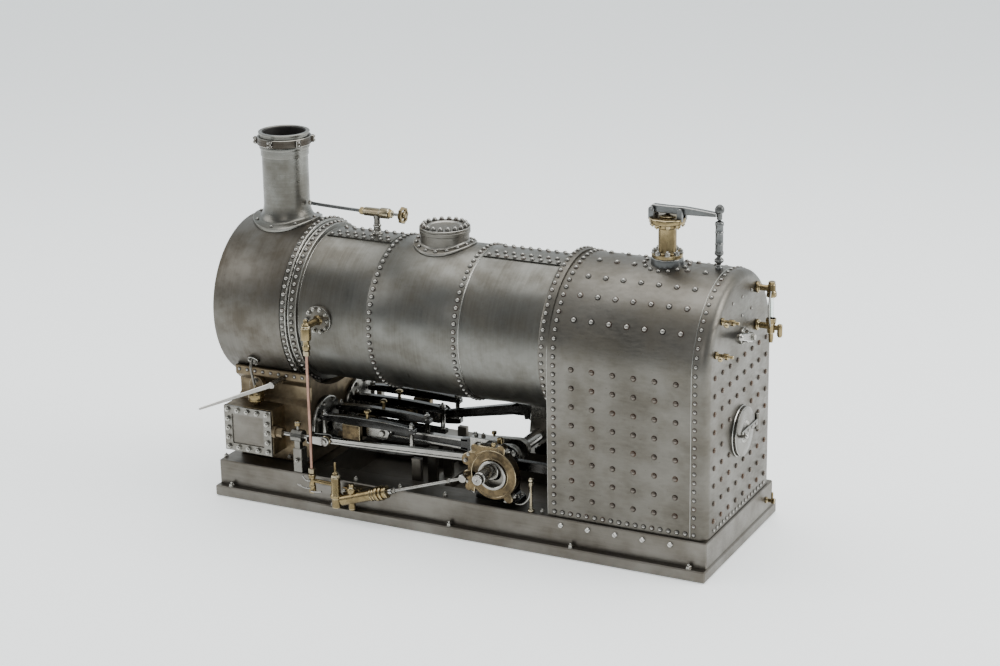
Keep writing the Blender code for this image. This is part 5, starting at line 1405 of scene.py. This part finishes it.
def make_backhead_fittings():
    """Try cocks, regulator handle and fire door."""
    wall = BACKHEAD_FACE + 0.3
    for word in ("upper", "lower"):
        _, y, z = joint_at(f"{word}_try_cock_turn")
        body = lathe([(0, wall), (3.6, wall), (3.6, wall + 1.8), (1.9, wall + 2.4), (1.9, wall + 7),
                      (3, wall + 7.6), (3, wall + 12.4), (1.5, wall + 13), (1.5, wall + 17),
                      (0, wall + 17)], "X", (0, y, z), 32)
        handle = merged(rod((wall + 10, y, z), (wall + 10, y - 15, z + 2), 1.2),
                        ball((wall + 10, y - 15, z + 2), 2.4))
        piece(f"{word}_try_cock_turned", f"{word}_try_cock", [(body, "brass"), (handle, "brass")],
              (f"{word}_try_cock",))
    face = BACKHEAD_FACE + 8.3
    spindle = rod((BACKHEAD_FACE - 30, 0, REGULATOR_Z), (face + 4, 0, REGULATOR_Z), 2, 28)
    arm = prism(bar((0, REGULATOR_Z), (-34, 222), 4.6, 2.4, 12), "X", face, face + 3, 0.5)
    cap = [place_at(face + 3, 0, REGULATOR_Z, "X")]
    piece("regulator_arm", "regulator",
          [(merged(spindle, arm, ball((face + 4, -36, 222.6), 3.6, 28)), "bright"),
           nutted(cap, 5, 2.4, False)], ("regulator_handle",))
    face = BACKHEAD_FACE + 2.3
    y, z = FIRE_HOLE
    hinge = joint_at("fire_door_swing")
    door = lathe([(0, face), (24, face), (24, face + 2.6), (22.5, face + 3.2), (10, face + 3.2),
                  (9, face + 2.6), (0, face + 2.6)], "X", (0, y, z), 64)
    strap = block((face + 2, y - 10, z - 3), (face + 4.6, hinge.y, z + 3), 0.5)
    knuckle = disc(2.4, z - 8, z + 8, "Z", (hinge.x, hinge.y, 0), 28)
    handle = merged(rod((face + 2, y - 17, z), (face + 10, y - 17, z + 2), 1.6),
                    ball((face + 10, y - 17, z + 2), 2.6))
    studs = [place_at(face + 4.6, y + dy, z, "X") for dy in (-6, 4, 14, 24)]
    piece("fire_door_plate", "fire_door",
          [(merged(door, strap, knuckle), "steel"), (handle, "bright"), riveted(studs, 1.3)],
          ("fire_door",))


def make_side_fittings():
    """The lubricator on the near steam chest and the drain lever beside it."""
    x, y = CHIMNEY.x, -75
    pot = lathe([(0, 97.8), (3, 97.8), (3, 100), (7, 101), (8, 103), (8, 109), (7, 111), (3.2, 112),
                 (3.2, 114), (1.4, 115), (1.4, 118), (0, 118)], "Z", (x, y, 0), 40)
    bands = [lathe([(7.8, z), (8.4, z + 0.2), (8.4, z + 1), (7.8, z + 1.2)], "Z", (x, y, 0), 40, 0, True)
             for z in (102.6, 108)]
    riser = tube([(x, y, 114), (x - 3, y, 126), (x - 4, y - 1, 137), (x - 4, y + 4, 146),
                  (x - 4, y + 7, 149)], 1.3)
    lean = Matrix.Translation((x - 4, -60, 150)) @ Matrix.Rotation(math.radians(126), 4, "X")
    flange = disc(6, 6, 14, "Z", (0, 0, 0), 40, 0.4).at(lean)
    nuts = scattered(nut(2.6, 1.6), ring_of(4, 4.2, (0, 0, 14), "Z", 1, 45)).at(lean)
    piece("lubricator_pot", "engine",
          [(merged(pot, *bands), "brass"), (riser, "steel"), (flange, "steel"), (nuts, "nut")],
          ("lubricator",))
    pivot = joint_at("starting_lever_swing")
    px, pz = pivot.x, pivot.z
    arm = prism(bar((px, pz), (-288, 87), 2.5, 1.2, 12), "Y", pivot.y - 1.5, pivot.y + 1.5, 0.4)
    boss = disc(3.4, pivot.y - 2.4, -65.3, "Y", (px, 0, pz), 32)
    piece("starting_lever_arm", "starting_lever", [(merged(arm, boss), "bright")],
          ("starting_lever",))
    dress("soot", "fire_tubes")
    dress("copper", "inner_firebox")


# ------------------------------------------------------------ stage and camera
FLOOR_RADIUS, FLOOR_SIDES, FLOOR_Z = 7.0, 96, -0.0005
FLOOR_COLOURS = ((0.95, 0.96, 0.965), (0.93, 0.945, 0.95))
FLOOR_ROUGHNESS = 0.75
FLOOR_GLOW, FLOOR_GLOW_STRENGTH = (0.95, 1.0, 1.0, 1), 0.6
SKY_COLOURS = ((0.21, 0.22, 0.225), (0.84, 0.90, 0.925))
SKY_STRENGTH = 1.15
LAMP_COLOUR = (1.0, 0.985, 0.96)
# Name, place, target, width in metres, power in watts
LAMPS = (
    ("overhead", (0.0, 0.25, 1.7), (0, 0, 0.2), 1.8, 27),
    ("left", (-1.7, -0.6, 1.0), (0, 0, 0.2), 1.1, 9),
    ("right", (1.8, 0.5, 1.1), (0, 0, 0.2), 1.2, 24),
    ("front", (0.2, -2.4, 1.3), (0, 0, 0.15), 1.0, 6),
)
CAMERA_PLACE = (0.9762, -1.9064, 0.8757)
CAMERA_RIGHT = (0.8947, 0.4463, -0.0164)
CAMERA_UP = (-0.1240, 0.2835, 0.9510)
CAMERA_BACK = (0.4291, -0.8488, 0.3089)
CAMERA_LENS, CAMERA_SENSOR = 82.47, 36


def stage_material(name, light, dark):
    """A matt studio surface with a faint mottle."""
    material = bpy.data.materials.new(name)
    material.use_nodes = True
    tree = material.node_tree
    shader = tree.nodes["Principled BSDF"]
    shader.inputs["Roughness"].default_value = FLOOR_ROUGHNESS
    shader.inputs["Emission Color"].default_value = FLOOR_GLOW
    shader.inputs["Emission Strength"].default_value = FLOOR_GLOW_STRENGTH
    place = node(tree, "ShaderNodeTexCoord").outputs["Object"]
    tree.links.new(blended(tree, noise(tree, place, 4.0), light, dark), shader.inputs["Base Color"])
    return material


def make_stage():
    """A pale matt floor, the studio's sky and soft lamps."""
    verts = [(0, 0, FLOOR_Z)]
    faces = []
    for i in range(FLOOR_SIDES):
        a = 2 * math.pi * i / FLOOR_SIDES
        verts.append((FLOOR_RADIUS * math.cos(a), FLOOR_RADIUS * math.sin(a), FLOOR_Z))
        faces.append((0, i + 1, (i + 1) % FLOOR_SIDES + 1))
    mesh = bpy.data.meshes.new("floor")
    mesh.from_pydata(verts, [], faces)
    mesh.materials.append(stage_material("floor", *FLOOR_COLOURS))
    floor = bpy.data.objects.new("floor", mesh)
    bpy.context.scene.collection.objects.link(floor)

    world = bpy.data.worlds.new("studio")
    world.use_nodes = True
    tree = world.node_tree
    sky = tree.nodes["Background"]
    sky.inputs["Strength"].default_value = SKY_STRENGTH
    facing = node(tree, "ShaderNodeSeparateXYZ",
                  {"Vector": node(tree, "ShaderNodeTexCoord").outputs["Generated"]})
    across = ramp(tree, facing.outputs["Y"], -0.75, 0.35)
    tree.links.new(blended(tree, across, *SKY_COLOURS), sky.inputs["Color"])
    bpy.context.scene.world = world

    for name, place, target, width, power in LAMPS:
        lamp = bpy.data.lights.new(name, "AREA")
        lamp.shape = "SQUARE"
        lamp.size = width
        lamp.energy = power
        lamp.color = LAMP_COLOUR
        made = bpy.data.objects.new(name, lamp)
        made.location = place
        made.rotation_euler = (Vector(target) - Vector(place)).to_track_quat("-Z", "Y").to_euler()
        bpy.context.scene.collection.objects.link(made)


def make_camera():
    """The viewpoint: azimuth 27 degrees, elevation 18 degrees, almost level."""
    lens = bpy.data.cameras.new("camera")
    lens.lens = CAMERA_LENS
    lens.sensor_width = CAMERA_SENSOR
    camera = bpy.data.objects.new("camera", lens)
    turn = Matrix((CAMERA_RIGHT, CAMERA_UP, CAMERA_BACK)).transposed().to_4x4()
    camera.matrix_world = Matrix.Translation(CAMERA_PLACE) @ turn
    bpy.context.scene.collection.objects.link(camera)
    bpy.context.scene.camera = camera


for make in (make_camera, make_stage, make_smokebox, make_smokebox_door, make_chimney, make_barrel,
             make_firebox, make_backhead, make_manhole, make_bed_fittings, make_bearings, make_guide_bars,
             make_cylinders, make_crankshaft, make_eccentrics, make_connecting_rods, make_crossheads,
             make_straps, make_valve_gear, make_pump, make_delivery, make_blower, make_safety_valve,
             make_water_gauge, make_backhead_fittings, make_side_fittings):
    make()

bpy.context.view_layer.update()
